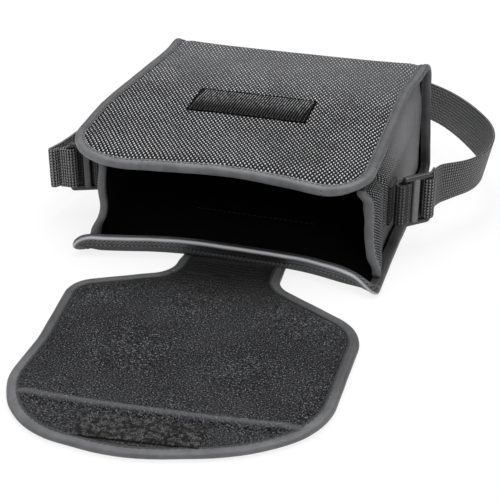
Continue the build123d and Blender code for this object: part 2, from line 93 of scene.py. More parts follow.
class Shade:
    """A node material or sky, written as short lines."""

    def __init__(self, name, owner=None, output="OutputMaterial"):
        self.owner = owner or bpy.data.materials.new(name)
        self.owner.use_nodes = True
        self.tree = self.owner.node_tree
        self.tree.nodes.clear()
        self.output = self.node(output)

    def node(self, kind, values=(), **settings):
        return add_node(self.tree, "ShaderNode" + kind, values, **settings)

    def end(self, shader):
        self.tree.links.new(shader.outputs[0], self.output.inputs["Surface"])
        return self.owner

    def maths(self, operation, a, b=0.0, c=0.0):
        return self.node("Math", {0: a, 1: b, 2: c}, operation=operation).outputs[0]

    def times(self, first, *others):
        for other in others:
            first = self.maths("MULTIPLY", first, other)
        return first

    def times_add(self, first, other, added):
        return self.maths("MULTIPLY_ADD", first, other, added)

    def sine(self, value):
        return self.maths("SINE", value)

    def ramp(self, value, low, high, to_low=0.0, to_high=1.0):
        values = {"Value": value, "From Min": low, "From Max": high, "To Min": to_low, "To Max": to_high}
        return self.node("MapRange", values, interpolation_type="SMOOTHSTEP").outputs[0]

    def blend(self, share, first, second):
        return self.node("Mix", {"Factor": share, 6: first, 7: second}, data_type="RGBA").outputs[2]

    def place(self):
        return self.node("TexCoord").outputs["Object"]

    def place_axis(self, axis):
        return self.node("SeparateXYZ", {"Vector": self.place()}).outputs[axis]

    def noise(self, scale, detail=2.0):
        values = {"Vector": self.place(), "Scale": scale, "Detail": detail}
        return self.node("TexNoise", values).outputs["Fac"]

    def cloudy(self, scale, detail, to_low, to_high):
        """Soft patches, between two shares."""
        return self.ramp(self.noise(scale, detail), 0.3, 0.7, to_low, to_high)

    def cloth_axes(self):
        """Millimetres along and across the cloth, from the piece's own UV map."""
        parts = self.node("SeparateXYZ", {"Vector": self.node("UVMap", uv_map="cloth").outputs[0]})
        return parts.outputs[0], parts.outputs[1]

    def surface(self, colour, roughness, height, depth, gloss=0.5, sheen=0.0, sheen_roughness=0.5):
        """Ends the material: depth is the bump's real height in metres."""
        bump = self.node("Bump", {"Height": height, "Distance": depth, "Strength": 1.0})
        values = {
            "Base Color": colour, "Roughness": roughness, "Normal": bump.outputs[0], "Specular IOR Level": gloss,
            "Sheen Weight": sheen, "Sheen Roughness": sheen_roughness,
        }
        return self.end(self.node("BsdfPrincipled", values))


def seen_white(shade, second_ray, share, lit):
    """Ends a shade that shows white to the camera and to a second kind of ray, and lights by another shader."""
    rays = shade.node("LightPath").outputs
    seen = shade.times(shade.maths("MAXIMUM", rays["Is Camera Ray"], rays[second_ray]), share)
    glow = shade.node("Background" if second_ray == "Is Transmission Ray" else "Emission", {"Color": white})
    return shade.end(shade.node("MixShader", {0: seen, 1: lit.outputs[0], 2: glow.outputs[0]}))


ground_shade = Shade("white_ground")
ground_lit = ground_shade.node("BsdfDiffuse", {"Color": (0.86, 0.86, 0.86, 1)})
ground_mesh = bpy.data.meshes.new("ground")
ground_corners = [(x * ground_half, y * ground_half, ground_z) for x, y in ((-1, -1), (1, -1), (1, 1), (-1, 1))]
ground_mesh.from_pydata(ground_corners, [], [(0, 1, 2, 3)])
ground_mesh.materials.append(seen_white(ground_shade, "Is Glossy Ray", 0.82, ground_lit))
ground = bpy.data.objects.new("ground", ground_mesh)
scene.collection.objects.link(ground)

scene.world = bpy.data.worlds.new("studio")
sky = Shade("studio", scene.world, "OutputWorld")
seen_white(sky, "Is Transmission Ray", 1.0, sky.node("Background", {"Color": white, "Strength": 0.35}))

for lamp_name, lamp_place, lamp_size, watts in (
    ("overhead", (0.05, 0.35, 1.25), 1.1, 17.0),
    ("front_fill", (0.9, -1.1, 0.8), 0.9, 7.0),
    ("left_fill", (-1.1, -0.4, 0.7), 0.8, 5.0),
):
    lamp_data = bpy.data.lights.new(lamp_name, "AREA")
    lamp_data.shape, lamp_data.size, lamp_data.energy = "SQUARE", lamp_size, watts
    lamp = bpy.data.objects.new(lamp_name, lamp_data)
    lamp.location = lamp_place
    lamp.rotation_euler = Vector(lamp_place).to_track_quat("Z", "Y").to_euler()
    scene.collection.objects.link(lamp)


# The wrap: one run of cloth, foam and lining that makes the front panel, the base and the back panel. Outside it
# is a coarse basket weave of thick nylon yarn. Its edges are pressed thin by the tape sewn over them.
bag_length, half_base = 165.0, 86.5
base_depth, mouth_depth = 75.0, 54.0
fabric_thick, foam_thick, lining_thick = 0.8, 3.4, 0.8
wall = fabric_thick + foam_thick + lining_thick
rim_wall = 3.0
press_start, press_end = 5.2, 13.0
rests_from, raised_from, rise_height = 72.0, 56.0, 1.4
lip_length, lip_arc, lip_overhang, lip_curl = 14.3, 8.5, 6.9, 81.0
base_bulge, corner_bulge, front_crown = 1.3, 1.8, 0.9
mouth_rise, mouth_pull = 2.3, 1.4
slack_reach, bow_reach, dip_reach = 58.0, 70.0, 40.0
flap_x, neck_half, beside_half = 6.0, 38.0, 78.0
edge_gap = 0.8
weave_across, weave_along, yarn_sway = 2.5, 4.37, 1.6
weft_slant, warp_slant = 0.057, -0.0185
front_slope = (base_depth - mouth_depth) / bag_length
mouth_y = -bag_length / 2


def smooth(x, low, high):
    """0 below low, 1 above high, and an even turn between."""
    share = np.clip((np.asarray(x, float) - low) / (high - low), 0, 1)
    return share * share * (3 - 2 * share)


def bell(x, middle, width):
    """1 in the middle, falling away softly on both sides."""
    return np.exp(-((x - middle) / width) ** 2)


def rounded(corners, radii, closed=False, step=6.0):
    """Points along straight runs joined by arcs: step is the turn between two points, in degrees."""
    corners = np.array(corners, float)
    points = []
    for index, (here, radius) in enumerate(zip(corners, radii)):
        if radius == 0 or (not closed and index in (0, len(corners) - 1)):
            points.append(here)
            continue
        before, after = corners[index - 1], corners[(index + 1) % len(corners)]
        way_in = (here - before) / np.linalg.norm(here - before)
        way_out = (after - here) / np.linalg.norm(after - here)
        turn = np.arctan2(way_in[0] * way_out[1] - way_in[1] * way_out[0], way_in @ way_out)
        start = here - way_in * (radius * np.tan(abs(turn) / 2))
        middle = start + np.array([-way_in[1], way_in[0]]) * np.sign(turn) * radius
        spoke = start - middle
        for angle in np.linspace(0, turn, max(2, int(np.ceil(abs(np.degrees(turn)) / step)) + 1)):
            c, s = np.cos(angle), np.sin(angle)
            points.append(middle + np.array([c * spoke[0] - s * spoke[1], s * spoke[0] + c * spoke[1]]))
    return np.array(points)


def lengths(points):
    """Distance along a line of points, at each of them."""
    return np.concatenate([[0], np.cumsum(np.linalg.norm(np.diff(points, axis=0), axis=1))])


def along(points, where):
    """Points of a line at given distances along it."""
    run = lengths(points)
    return np.stack([np.interp(where, run, points[:, k]) for k in range(points.shape[1])], 1)


side_profile = rounded(
    [
        (0, mouth_depth), (bag_length, base_depth), (bag_length, 0), (rests_from, 0), (raised_from, rise_height),
        (-lip_overhang, rise_height),
    ],
    [0, 8, 10, 60, 60, 0],
    step=3.0,
)
wrap_run = lengths(side_profile)[-1]
fine_run = np.linspace(0, wrap_run, 3000)
fine_profile = along(side_profile, fine_run)
fine_tangent = np.gradient(fine_profile, fine_run, axis=0)
for _ in range(12):
    fine_tangent[1:-1] = (fine_tangent[:-2] + 2 * fine_tangent[1:-1] + fine_tangent[2:]) / 4
fine_tangent /= np.linalg.norm(fine_tangent, axis=1)[:, None]
front_run = np.hypot(bag_length, base_depth - mouth_depth)
front_stretch = front_run / bag_length
base_start = front_run - 2.0
base_end = base_start + base_depth - 8.0
lip_start = wrap_run - lip_length

# The cloth laid flat: X across, and the distance from the front panel's mouth edge along the wrap. Its outline
# starts on the left side near the base and runs towards the mouth.
flat_corners = [
    (-half_base, base_start + 3), (-half_base - 16.3, 66.0 * front_stretch), (-half_base - 13.5, 0),
    (half_base - 4.7, 0), (half_base - 6.3, 128.0 * front_stretch), (half_base, base_start + 3),
    (half_base + 4.1, base_end), (half_base + 7.6, wrap_run - 5.2), (half_base - 14.0, wrap_run),
    (-half_base - 2.2, wrap_run), (-half_base + 2.6, wrap_run - 17.0), (-half_base, base_end),
]
flat_outline = rounded(flat_corners, [40, 150, 36, 27, 80, 60, 0, 7, 40, 6, 14, 0], closed=True)
flat_outline = np.vstack([flat_outline, flat_outline[:1]])
wrap_outline_run = lengths(flat_outline)[-1]
outline_middle = np.array([0.0, wrap_run / 2])


def lip_turn(x):
    """How far the back panel's lip curls up, in degrees: most in the middle, little at its ends."""
    return lip_curl * np.minimum(smooth(x, -99.0, -75.0), 1 - smooth(x, 77.0, 101.0))


def mouth_bow(x):
    """How far the back panel's mouth edge stands forward of its middle: more and more towards its two ends."""
    left, right = -x - 20.0, x - 50.0
    return 0.1 * (left + np.hypot(left, 12.0)) + 0.11 * (right + np.hypot(right, 12.0))


def mouth_wave(x):
    """The front panel's slack mouth edge: a low hump in the middle and a small dip on either side."""
    return mouth_rise + 3.0 * bell(x, 4.0, 36.0) - 1.2 * bell(x, 61.0, 14.0) - 0.9 * bell(x, -60.0, 12.0)


def curled(turn, run):
    """Where the lip's cloth gets to: forward and up from the lip's foot, and the way it then points."""
    forward, up = np.zeros_like(run), np.zeros_like(run)
    pieces = 24
    step = run / pieces
    for piece in range(pieces):
        angle = np.radians(turn) * smooth(step * (piece + 0.5), 0.0, lip_arc)
        forward = forward + step * np.cos(angle)
        up = up + step * np.sin(angle)
    return forward, up, np.radians(turn) * smooth(run, 0.0, lip_arc)


def on_wrap(flat, depth=0.0):
    """A point of the flat cloth on the sewn wrap, that far under its outer face."""
    flat = np.asarray(flat, float)
    x, run = flat[..., 0], np.clip(flat[..., 1], 0, wrap_run)
    d, z = (np.interp(run, fine_run, fine_profile[:, k]) for k in (0, 1))
    along_d, along_z = (np.interp(run, fine_run, fine_tangent[:, k]) for k in (0, 1))
    on_lip, back, front = run > lip_start, run > base_end, run < base_start
    forward, up, angle = curled(lip_turn(x), np.clip(run - lip_start, 0, lip_length))
    d = np.where(on_lip, lip_length - lip_overhang - forward, d)
    z = np.where(on_lip, rise_height + up, z)
    along_d = np.where(on_lip, -np.cos(angle), along_d)
    along_z = np.where(on_lip, np.sin(angle), along_z)
    beside_neck = smooth(np.abs(x - flap_x), neck_half, beside_half)
    z = z - beside_neck * smooth(run, wrap_run - dip_reach, lip_start) * back
    d = d - (mouth_bow(x) + mouth_pull) * smooth(run, wrap_run - bow_reach, lip_start) * back
    z = z + mouth_wave(x) * (1 - smooth(run, 0.0, slack_reach)) * front
    share = run / base_start
    z = z + front_crown * np.clip(1 - (x / half_base) ** 2, 0, 1) * np.clip(share * (1 - share) * 4, 0, 1) * front
    bulge = (base_bulge + corner_bulge * np.abs(x / half_base) ** 4) * bell(run, front_run - 2.0, 11.0)
    outward = np.stack([np.zeros_like(x), -along_z, along_d], -1)
    return np.stack([x, mouth_y + d, z], -1) - outward * (np.asarray(depth, float) - bulge)[..., None]


def edge_distance(flat, outline):
    """Distance in the flat cloth from each point to its outline."""
    points = flat.reshape(-1, 2)
    ways = np.diff(outline, axis=0)
    nearest = np.full(len(points), 1e9)
    for start, way in zip(outline[:-1], ways):
        share = np.clip(((points - start) @ way) / max(way @ way, 1e-9), 0, 1)
        nearest = np.minimum(nearest, np.linalg.norm(points - start - share[:, None] * way, axis=1))
    return nearest.reshape(flat.shape[:-1])


def pressed(near):
    """The wall's thickness, thin under the tape and full inside it."""
    return rim_wall + (wall - rim_wall) * smooth(near, press_start, press_end)


def link(obj, body, replaced=()):
    """Puts a finished piece into the scene, on its body."""
    scene.collection.objects.link(obj)
    if body is not None:
        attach(obj, body)
    if body == "case":
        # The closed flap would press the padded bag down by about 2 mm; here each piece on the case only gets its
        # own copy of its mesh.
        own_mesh(obj)
    if replaced:
        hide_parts(*replaced)
    return obj


def cloth_object(name, points, faces, flat_faces, uv, material):
    """A mesh of points in millimetres, with the cloth's own UV map. Its last flat_faces faces aren't smoothed."""
    mesh = bpy.data.meshes.new(name)
    mesh.from_pydata((points.reshape(-1, 3) * 0.001).tolist(), [], faces)
    shaped = bmesh.new()
    shaped.from_mesh(mesh)
    bmesh.ops.recalc_face_normals(shaped, faces=shaped.faces)
    shaped.to_mesh(mesh)
    shaped.free()
    corners = np.zeros(len(mesh.loops), np.int64)
    mesh.loops.foreach_get("vertex_index", corners)
    layer = mesh.uv_layers.new(name="cloth")
    layer.data.foreach_set("uv", uv.reshape(-1, 2)[corners].astype(np.float32).ravel())
    mesh.polygons.foreach_set("use_smooth", [True] * (len(faces) - flat_faces) + [False] * flat_faces)
    mesh.materials.append(material)
    mesh.update()
    return bpy.data.objects.new(name, mesh)


def grid_faces(rows, columns):
    """The numbers of a grid's points, and its faces."""
    grid = np.arange(rows * columns).reshape(rows, columns)
    corners = (grid[:-1, :-1], grid[:-1, 1:], grid[1:, 1:], grid[1:, :-1])
    return grid, np.stack(corners, -1).reshape(-1, 4)


def closed_cloth(name, top, bottom, uv, material):
    """A closed piece of cloth between two grids of points."""
    grid, upper = grid_faces(*top.shape[:2])
    lower = upper[:, [0, 3, 2, 1]] + grid.size
    rim = np.concatenate([grid[0, :], grid[1:, -1], grid[-1, -2::-1], grid[-2:0:-1, 0]])
    rim_next = np.roll(rim, -1)
    walls = np.stack([rim_next, rim, rim + grid.size, rim_next + grid.size], -1)
    faces = np.concatenate([upper, lower, walls]).tolist()
    return cloth_object(name, np.stack([top, bottom]), faces, len(walls), np.stack([uv, uv]), material)


def spread(count, first, last, edge=0.35):
    """Shares that lie closer together near both ends."""
    t = np.linspace(0, 1, count)
    eased = t - edge * np.sin(2 * pi * t) / (2 * pi) * 1.9
    return first + (last - first) * eased


def mark_at(outline, point):
    """Distance along an outline to the place nearest to a point."""
    dense = np.linspace(0, lengths(outline)[-1], 8000)
    return dense[int(np.argmin(np.linalg.norm(along(outline, dense) - np.array(point, float), axis=1)))]


def loop_along(outline, where):
    """Points of a closed outline at distances that may pass its start."""
    return along(outline, np.mod(where, lengths(outline)[-1]))


def stops_between(stops, counts):
    """Evenly spaced places between each stop and the next."""
    places = [stops[:1]]
    for start, end, count in zip(stops[:-1], stops[1:], counts):
        places.append(start + (end - start) * np.linspace(0, 1, count + 1)[1:])
    return np.concatenate(places)


def grid_between(left, right, columns):
    """A grid of flat points, in rows from a left side to a right side."""
    return left[:, None, :] + (right - left)[:, None, :] * columns[None, :, None]


def grey(level, tint=0.0):
    """A near-neutral colour; tint above 0 leans to blue."""
    return (level * (1 - tint), level * (1 - tint * 0.6), level * (1 + tint), 1.0)


def grained(name, scale, low, high, roughness, depth, gloss=0.5):
    """A plain finish whose fine grain lies between two greys."""
    shade = Shade(name)
    grain = shade.noise(scale)
    return shade.surface(shade.blend(grain, grey(low), grey(high)), roughness, grain, depth, gloss)


def basket_weave(name, crown_highlight_level, gap_level, fine, sheen_from, sheen_to, sheen_gap_level):
    """Crowns one way painted bright as a highlight on the black yarn, darker ones the other, and black gaps. Away
    from the mouth the gaps turn paler and the bright crowns dimmer, as painted sheen, and on the lip the bright
    crowns darken as painted shade.
    """
    shade = Shade(name)
    across, lengthwise = shade.cloth_axes()
    sway = shade.times_add(shade.noise(45.0), yarn_sway, across)
    first = shade.times(sway, fine * 2 * pi / weave_across)
    first = shade.times_add(lengthwise, 2 * pi * weft_slant, first)
    second = shade.times(lengthwise, fine * 2 * pi / weave_along)
    second = shade.times_add(sway, 2 * pi * warp_slant, second)
    checks = shade.times(shade.sine(first), shade.sine(second))
    # Painted highlight: the weft crowns are painted bright as the shine on the yarn, which is near black like the
    # warp and the gaps.
    weft = shade.ramp(checks, 0.1, 0.72)
    warp = shade.ramp(shade.times(checks, -1.0), 0.25, 0.9)
    # Painted shade: the bright crowns darken on the lip's outer face, below the back tape.
    lip_underside_shade = shade.ramp(lengthwise, wrap_run - 17.0, wrap_run - 12.0, 1.0, 0.28)
    # Painted sheen: away from the mouth the bright crowns dim, where the cloth is seen at a glancing angle.
    far = shade.ramp(lengthwise, sheen_from, sheen_to, 1.0, 0.62)
    crown_highlight_and_tone = shade.times(
        weft, shade.cloudy(700.0, 3.0, 0.55, 1.25), shade.cloudy(28.0, 2.0, 0.75, 1.15), lip_underside_shade, far,
    )
    dark = shade.blend(warp, grey(gap_level), grey(crown_highlight_level * 0.018, 0.03))
    # Painted sheen: away from the mouth the gaps turn paler.
    dark = shade.blend(shade.ramp(lengthwise, sheen_from, sheen_to), dark, grey(sheen_gap_level, 0.02))
    colour = shade.blend(crown_highlight_and_tone, dark, grey(crown_highlight_level, 0.02))
    beside = shade.maths("MAXIMUM", shade.ramp(across, -28.0, -12.0, 1.0, 0.0), shade.ramp(across, 40.0, 56.0))
    turned_under = shade.times(shade.ramp(lengthwise, wrap_run - 14.0, wrap_run - 11.0), beside)
    colour = shade.blend(turned_under, colour, grey(0.085, 0.02))
    height = shade.times_add(warp, 0.35, weft)
    return shade.surface(colour, 0.6, height, 0.0006, gloss=0.08, sheen=0.06, sheen_roughness=0.3)


def felt(name, level, fleck):
    """Brushed lining with a few paler specks."""
    shade = Shade(name)
    mixed = shade.times_add(shade.noise(420.0), 0.35, shade.times(shade.noise(2600.0, 4.0), 0.65))
    colour = shade.blend(shade.ramp(mixed, 0.36, 0.66), grey(level * 0.45, 0.02), grey(level * 1.5, 0.02))
    colour = shade.blend(shade.ramp(shade.noise(1700.0, 1.0), 0.70, 0.80), colour, grey(fleck, 0.02))
    return shade.surface(colour, 0.92, mixed, 0.0004, gloss=0.02, sheen=0.01, sheen_roughness=0.6)


outer_cloth = basket_weave("basket_weave", 0.6, 0.001, 1.0, 80.0, 150.0, 0.07)
grey_foam = grained("grey_foam", 1500.0, 0.03, 0.06, 0.9, 0.0002)
# Painted shade: the lining inside the bag is painted near black for the shade within it; the flap's lining of the
# same felt is far paler.
shaded_lining = felt("inner_lining", 0.0003, 0.002)

left_marks = [
    (-half_base - 13.5 + 32.0, 0), (-half_base - 13.9, 33.0), (-half_base, base_start + 3),
    (-half_base, base_end), (-half_base - 1.4, wrap_run - 6.5), (-half_base + 4.2, wrap_run),
]
right_marks = [
    (half_base - 4.7 - 27.0, 0), (half_base - 4.9, 27.0), (half_base, base_start + 3),
    (half_base + 4.1, base_end), (half_base + 7.3, wrap_run - 12.0), (half_base - 0.6, wrap_run - 3.2),
]
wrap_rows = (14, 62, 40, 64, 9)
left_stops = np.array([mark_at(flat_outline, p) for p in left_marks])
right_stops = np.array([mark_at(flat_outline, p) for p in right_marks])
left_stops[2:] -= wrap_outline_run * (left_stops[2:] > left_stops[0])
left_ends, right_ends = (
    loop_along(flat_outline, stops_between(stops, wrap_rows)) for stops in (left_stops, right_stops)
)
wrap_flat = grid_between(left_ends, right_ends, spread(74, 0.0, 1.0))
# The cloth ends inside the tape's fold.
wrap_flat[:, (0, -1), 0] -= np.sign(wrap_flat[:, (0, -1), 0]) * edge_gap
wrap_flat[(0, -1), :, 1] += np.sign(outline_middle[1] - wrap_flat[(0, -1), :, 1]) * edge_gap
wrap_wall = pressed(edge_distance(wrap_flat, flat_outline))
wrap_dent = (wall - wrap_wall) / 2
for name, near_face, far_face, material, slot, replaced in (
    ("bag_outer_cloth", 0.0, fabric_thick, outer_cloth, "shell_fabric", ("outer_shell",)),
    ("bag_foam", fabric_thick, wall - lining_thick, grey_foam, "foam", ("shell_padding",)),
    ("bag_lining", wall - lining_thick, wall, shaded_lining, "lining", ("shell_lining",)),
):
    upper, lower = (on_wrap(wrap_flat, wrap_dent + wrap_wall * (face / wall)) for face in (near_face, far_face))
    piece = link(closed_cloth(name, upper, lower, wrap_flat, material), "case", replaced)


# Stiffener boards: thin plastic sheets between the outer cloth and the foam of the front, base and back. They
# keep the panels flat, and none of them shows.
board_thick, board_margin, board_gap = 1.0, 12.0, 0.02
board_half = half_base - board_margin
stiff_board = grained("stiffener_board", 300.0, 0.06, 0.09, 0.55, 0.00005)
for name, run_low, run_high, x_high in (
    ("front_board", board_margin, base_start - board_margin, board_half - 7.0),
    ("base_board", base_start + board_margin, base_end - board_margin, board_half),
    ("back_board", base_end + board_margin, wrap_run - 76.0, board_half),
):
    runs, across = np.linspace(run_low, run_high, 30), np.linspace(-board_half, x_high, 30)
    flat = np.stack(np.meshgrid(across, runs), -1)
    upper, lower = on_wrap(flat, fabric_thick + board_gap), on_wrap(flat, fabric_thick + board_thick)
    link(closed_cloth(name + "_sheet", upper, lower, flat, stiff_board), "case", (name,))


# Binding: a smooth woven tape folded over the wrap's edge and sewn through with one row of stitches. It runs all
# round in four lengths: front mouth edge, back mouth edge, and one down each side over the base.
tape_width, tape_step = 6.0, 1.8
stitch_line, stitch_rise = 4.7, 0.5
tape_outer = [
    (tape_width, 1, 0.10), (tape_width + 0.05, 1, 0.5), (5.5, 1, 0.68), (stitch_line, 1, 0.42), (3.9, 1, 0.72),
    (2.8, 1, 1.0), (1.7, 1, 1.05), (0.75, 0.85, 0.95), (0.15, 0.55, 0.7), (-0.1, 0.0, 0.0),
]
tape_inner = [
    (tape_width - 0.1, 1, 0.0), (5.6, 1, 0.0), (5.0, 1, 0.0), (4.4, 1, 0.0), (3.6, 1, 0.0),
    (2.8, 1, 0.0), (2.0, 1, 0.0), (1.4, 1, 0.0), (0.95, 0.6, 0.0), (0.8, 0.0, 0.0),
]


def tape_section(points, half):
    """A contour of the folded tape: distance in from the fold, and height from the middle of the rim."""
    top = [(b, share * half + rise) for b, share, rise in points]
    return np.array(top + [(b, -n) for b, n in reversed(top[:-1])])


def ripple(run, seed, size):
    """Slight unevenness along a sewn tape."""
    waves = ((2.9, 1.0, 0.45), (5.3, 2.1, 0.35), (11.7, 3.7, 0.5))
    return size * sum(np.sin(run / wave + phase * seed) * share for wave, phase, share in waves)


def tube_faces(count, around, closed=False):
    """Faces that join one ring of points to the next."""
    grid = np.arange(count * around).reshape(count, around)
    grid = np.vstack([grid, grid[:1]]) if closed else grid
    ahead = np.roll(grid, -1, axis=1)
    return np.stack([grid[:-1], ahead[:-1], ahead[1:], grid[1:]], -1).reshape(-1, 4)


def tube_uv(section, run):
    """The cloth's axes on a tube: round its section, and along it."""
    return np.stack(np.broadcast_arrays(lengths(section)[None, :], np.asarray(run)[:, None]), -1)


def swept_tape(name, run, at, half, material, seed=1.0, uneven=0.12):
    """A folded tape along a path. at(b, n) gives each point's place, b inwards and n up from the rim's middle."""
    outer, inner = tape_section(tape_outer, half), tape_section(tape_inner, half)[::-1]
    bumps = ripple(run, seed, uneven)
    rings = []
    for b, n in outer:
        puff = 1.0 + (bumps if 0.5 < b < 4.2 or b > 5.0 else bumps * 0.4) * 0.45
        rings.append(at(b + bumps * 0.5 * (b < 1.0), n * puff))
    rings = np.stack(rings + [at(b, n) for b, n in inner], 1)
    count, around = rings.shape[:2]
    sides = tube_faces(count, around)
    cap = np.array([(i, around - 1 - i, around - 2 - i, i + 1) for i in range(around // 2 - 1)])
    faces = np.concatenate([sides, cap, cap[:, ::-1] + (count - 1) * around]).tolist()
    return cloth_object(name, rings, faces, 2 * len(cap), tube_uv(np.concatenate([outer, inner]), run), material)


def tape_cloth(name, level, foot=1.0, far=1.0, ends=None):
    """Twilled tape. It keeps a share of its colour, foot, near the ground, and another, far, near the case, both as
    painted shade, and with far it also gets a painted shaded line along its inner edge. It darkens towards its two
    ends as painted shade, where their places along it are given.
    """
    shade = Shade(name)
    black = grey(0.004)
    across, lengthwise = shade.cloth_axes()
    slant = shade.maths("ADD", shade.times(across, 9.0), shade.times(lengthwise, 9.0))
    twill = shade.times_add(shade.sine(slant), 0.5, 0.5)
    cloud = shade.times(shade.cloudy(130.0, 3.0, 0.0, 1.0), 0.6)
    colour = shade.blend(cloud, grey(level * 0.8, 0.03), grey(level * 1.3, 0.03))
    colour = shade.blend(shade.ramp(twill, 0.0, 0.6, 0.35, 0.0), colour, grey(level * 0.4, 0.03))
    # Painted shade: the tape darkens near the ground.
    if foot < 1.0:
        colour = shade.blend(shade.ramp(shade.place_axis(2), 0.008, 0.035, 1.0 - foot, 0.0), colour, black)
    # Painted shade: the tape darkens towards its two ends, where it meets the darker side tapes.
    if ends:
        middle, half = (ends[0] + ends[1]) / 2, abs(ends[1] - ends[0]) / 2
        from_middle = shade.maths("ABSOLUTE", shade.maths("SUBTRACT", lengthwise, middle))
        colour = shade.blend(shade.ramp(from_middle, half - 40.0, half, 0.0, 0.4), colour, black)
    # Painted shade: the tape darkens towards the case, and along its inner edge in the groove beside the lining.
    if far < 1.0:
        colour = shade.blend(shade.ramp(shade.place_axis(1), -0.225, -0.175, 0.0, 1.0 - far), colour, black)
        colour = shade.blend(shade.ramp(across, 2.1, 1.3, 0.0, 0.8), colour, black)
    height = shade.times_add(twill, 0.4, shade.noise(1500.0))
    return shade.surface(colour, 0.5, height, 0.0001, gloss=0.35, sheen=0.1, sheen_roughness=0.35)


def lip_tape_cloth():
    """The lip's tape: a fold painted pale as a highlight, and below it a dark band with crossed threads, painted
    near black as shade over the flap's neck.
    """
    shade = Shade("lip_binding_tape")
    girth, lengthwise = shade.cloth_axes()
    to_fold = shade.maths("ABSOLUTE", shade.maths("SUBTRACT", girth, 6.3))
    slants = []
    for lean in (1.2, -1.2):
        slants.append(shade.sine(shade.times(shade.times_add(girth, lean, lengthwise), 2 * pi / 2.6)))
    crossed = shade.ramp(shade.maths("MAXIMUM", *slants), 0.35, 0.95)
    threads = shade.times(crossed, shade.cloudy(130.0, 3.0, 0.7, 1.2))
    band = shade.blend(threads, grey(0.003), grey(0.12, 0.03))
    x = shade.place_axis(0)
    # Painted shade: the band goes near black over the flap's neck.
    neck_shadow = shade.times(shade.ramp(x, -0.03, 0.005, 0.0, 0.75), shade.ramp(x, 0.07, 0.035))
    band = shade.blend(neck_shadow, band, grey(0.004))
    # Painted highlight: the fold is painted pale, far above the tape's own grey.
    fold = shade.blend(shade.ramp(to_fold, 0.0, 1.2), grey(0.5, 0.03), grey(0.2, 0.03))
    colour = shade.blend(shade.ramp(to_fold, 0.8, 1.7), fold, band)
    height = shade.times_add(crossed, 0.5, shade.noise(1500.0))
    return shade.surface(colour, 0.45, height, 0.00015, gloss=0.4, sheen=0.1, sheen_roughness=0.35)


def inward_steps(path, middle):
    """Unit steps square to a flat path, towards the side that a middle point lies on."""
    way = np.gradient(path, axis=0)
    way /= np.maximum(np.linalg.norm(way, axis=1)[:, None], 1e-9)
    square = np.stack([-way[:, 1], way[:, 0]], 1)
    return square * np.sign(np.sign(((middle - path) * square).sum(1)).sum())


front_end_left = mark_at(flat_outline, (-half_base - 14.4, 34.0 * front_stretch))
front_end_right = mark_at(flat_outline, (half_base - 5.0, 30.0 * front_stretch))
back_end_right = mark_at(flat_outline, (half_base + 6.2, wrap_run - 13.0))
back_end_left = mark_at(flat_outline, (-half_base + 1.6, wrap_run - 14.0))
# The same tape is painted brighter on the front, where light falls from above, and darker down the sides as painted
# shade; the front tape's ends darken into that painted shade.
lit_front_tape_cloth = tape_cloth("front_binding_tape", 0.165, ends=(front_end_left, front_end_right))
shaded_side_tape_cloth = tape_cloth("side_binding_tape", 0.09, foot=0.35)
bag_stitch_paths = []
for name, first, last, material in (
    ("front_binding", front_end_left, front_end_right, lit_front_tape_cloth),
    ("side_binding_right", front_end_right, back_end_right, shaded_side_tape_cloth),
    ("back_binding", back_end_right, back_end_left, lip_tape_cloth()),
    ("side_binding_left", back_end_left, front_end_left + wrap_outline_run, shaded_side_tape_cloth),
):
    run = np.linspace(first, last, max(8, int(abs(last - first) / tape_step)))
    path = loop_along(flat_outline, run)
    inwards = inward_steps(path, outline_middle)

    def on_rim(b, n):
        return on_wrap(path + inwards * np.broadcast_to(b, run.shape)[:, None], wall / 2 - n)

    link(swept_tape(name + "_tape", run, on_rim, rim_wall / 2, material, seed=2.0), "case", (name,))
    for side in (1, -1):
        bag_stitch_paths.append(on_rim(stitch_line, side * (rim_wall / 2 + stitch_rise)))


# Stitches: thick thread, one short stitch after another, sunk a little into the tape. The rows follow the tapes,
# and one row shows where the flap's end is sewn to the back panel.
class Pattern:
    """A geometry node tree, written as short lines. Its inputs are named, each with a kind and a default."""

    def __init__(self, name, **inputs):
        self.tree = bpy.data.node_groups.new(name, "GeometryNodeTree")
        self.socket("Geometry", "INPUT", "Geometry")
        for label, (kind, default) in inputs.items():
            socket = self.socket(label.replace("_", " "), "INPUT", kind)
            if default is not None:
                socket.default_value = default
        self.socket("Geometry", "OUTPUT", "Geometry")
        self.given = self.add("NodeGroupInput").outputs

    def socket(self, label, way, kind):
        return self.tree.interface.new_socket(label, in_out=way, socket_type="NodeSocket" + kind)

    def add(self, kind, values=(), **settings):
        return add_node(self.tree, kind, values, **settings)

    def instances(self, points, instance, **others):
        values = {"Points": points.outputs["Points"], "Instance": instance.outputs["Mesh"], **others}
        return self.add("GeometryNodeInstanceOnPoints", values).outputs["Instances"]

    def end(self, instances, material):
        """Makes the copies one real mesh of one material."""
        real = self.add("GeometryNodeRealizeInstances", {"Geometry": instances}).outputs["Geometry"]
        paint = self.add("GeometryNodeSetMaterial", {"Geometry": real, "Material": self.given[material]})
        self.add("NodeGroupOutput", {"Geometry": paint.outputs["Geometry"]})
        return self.tree


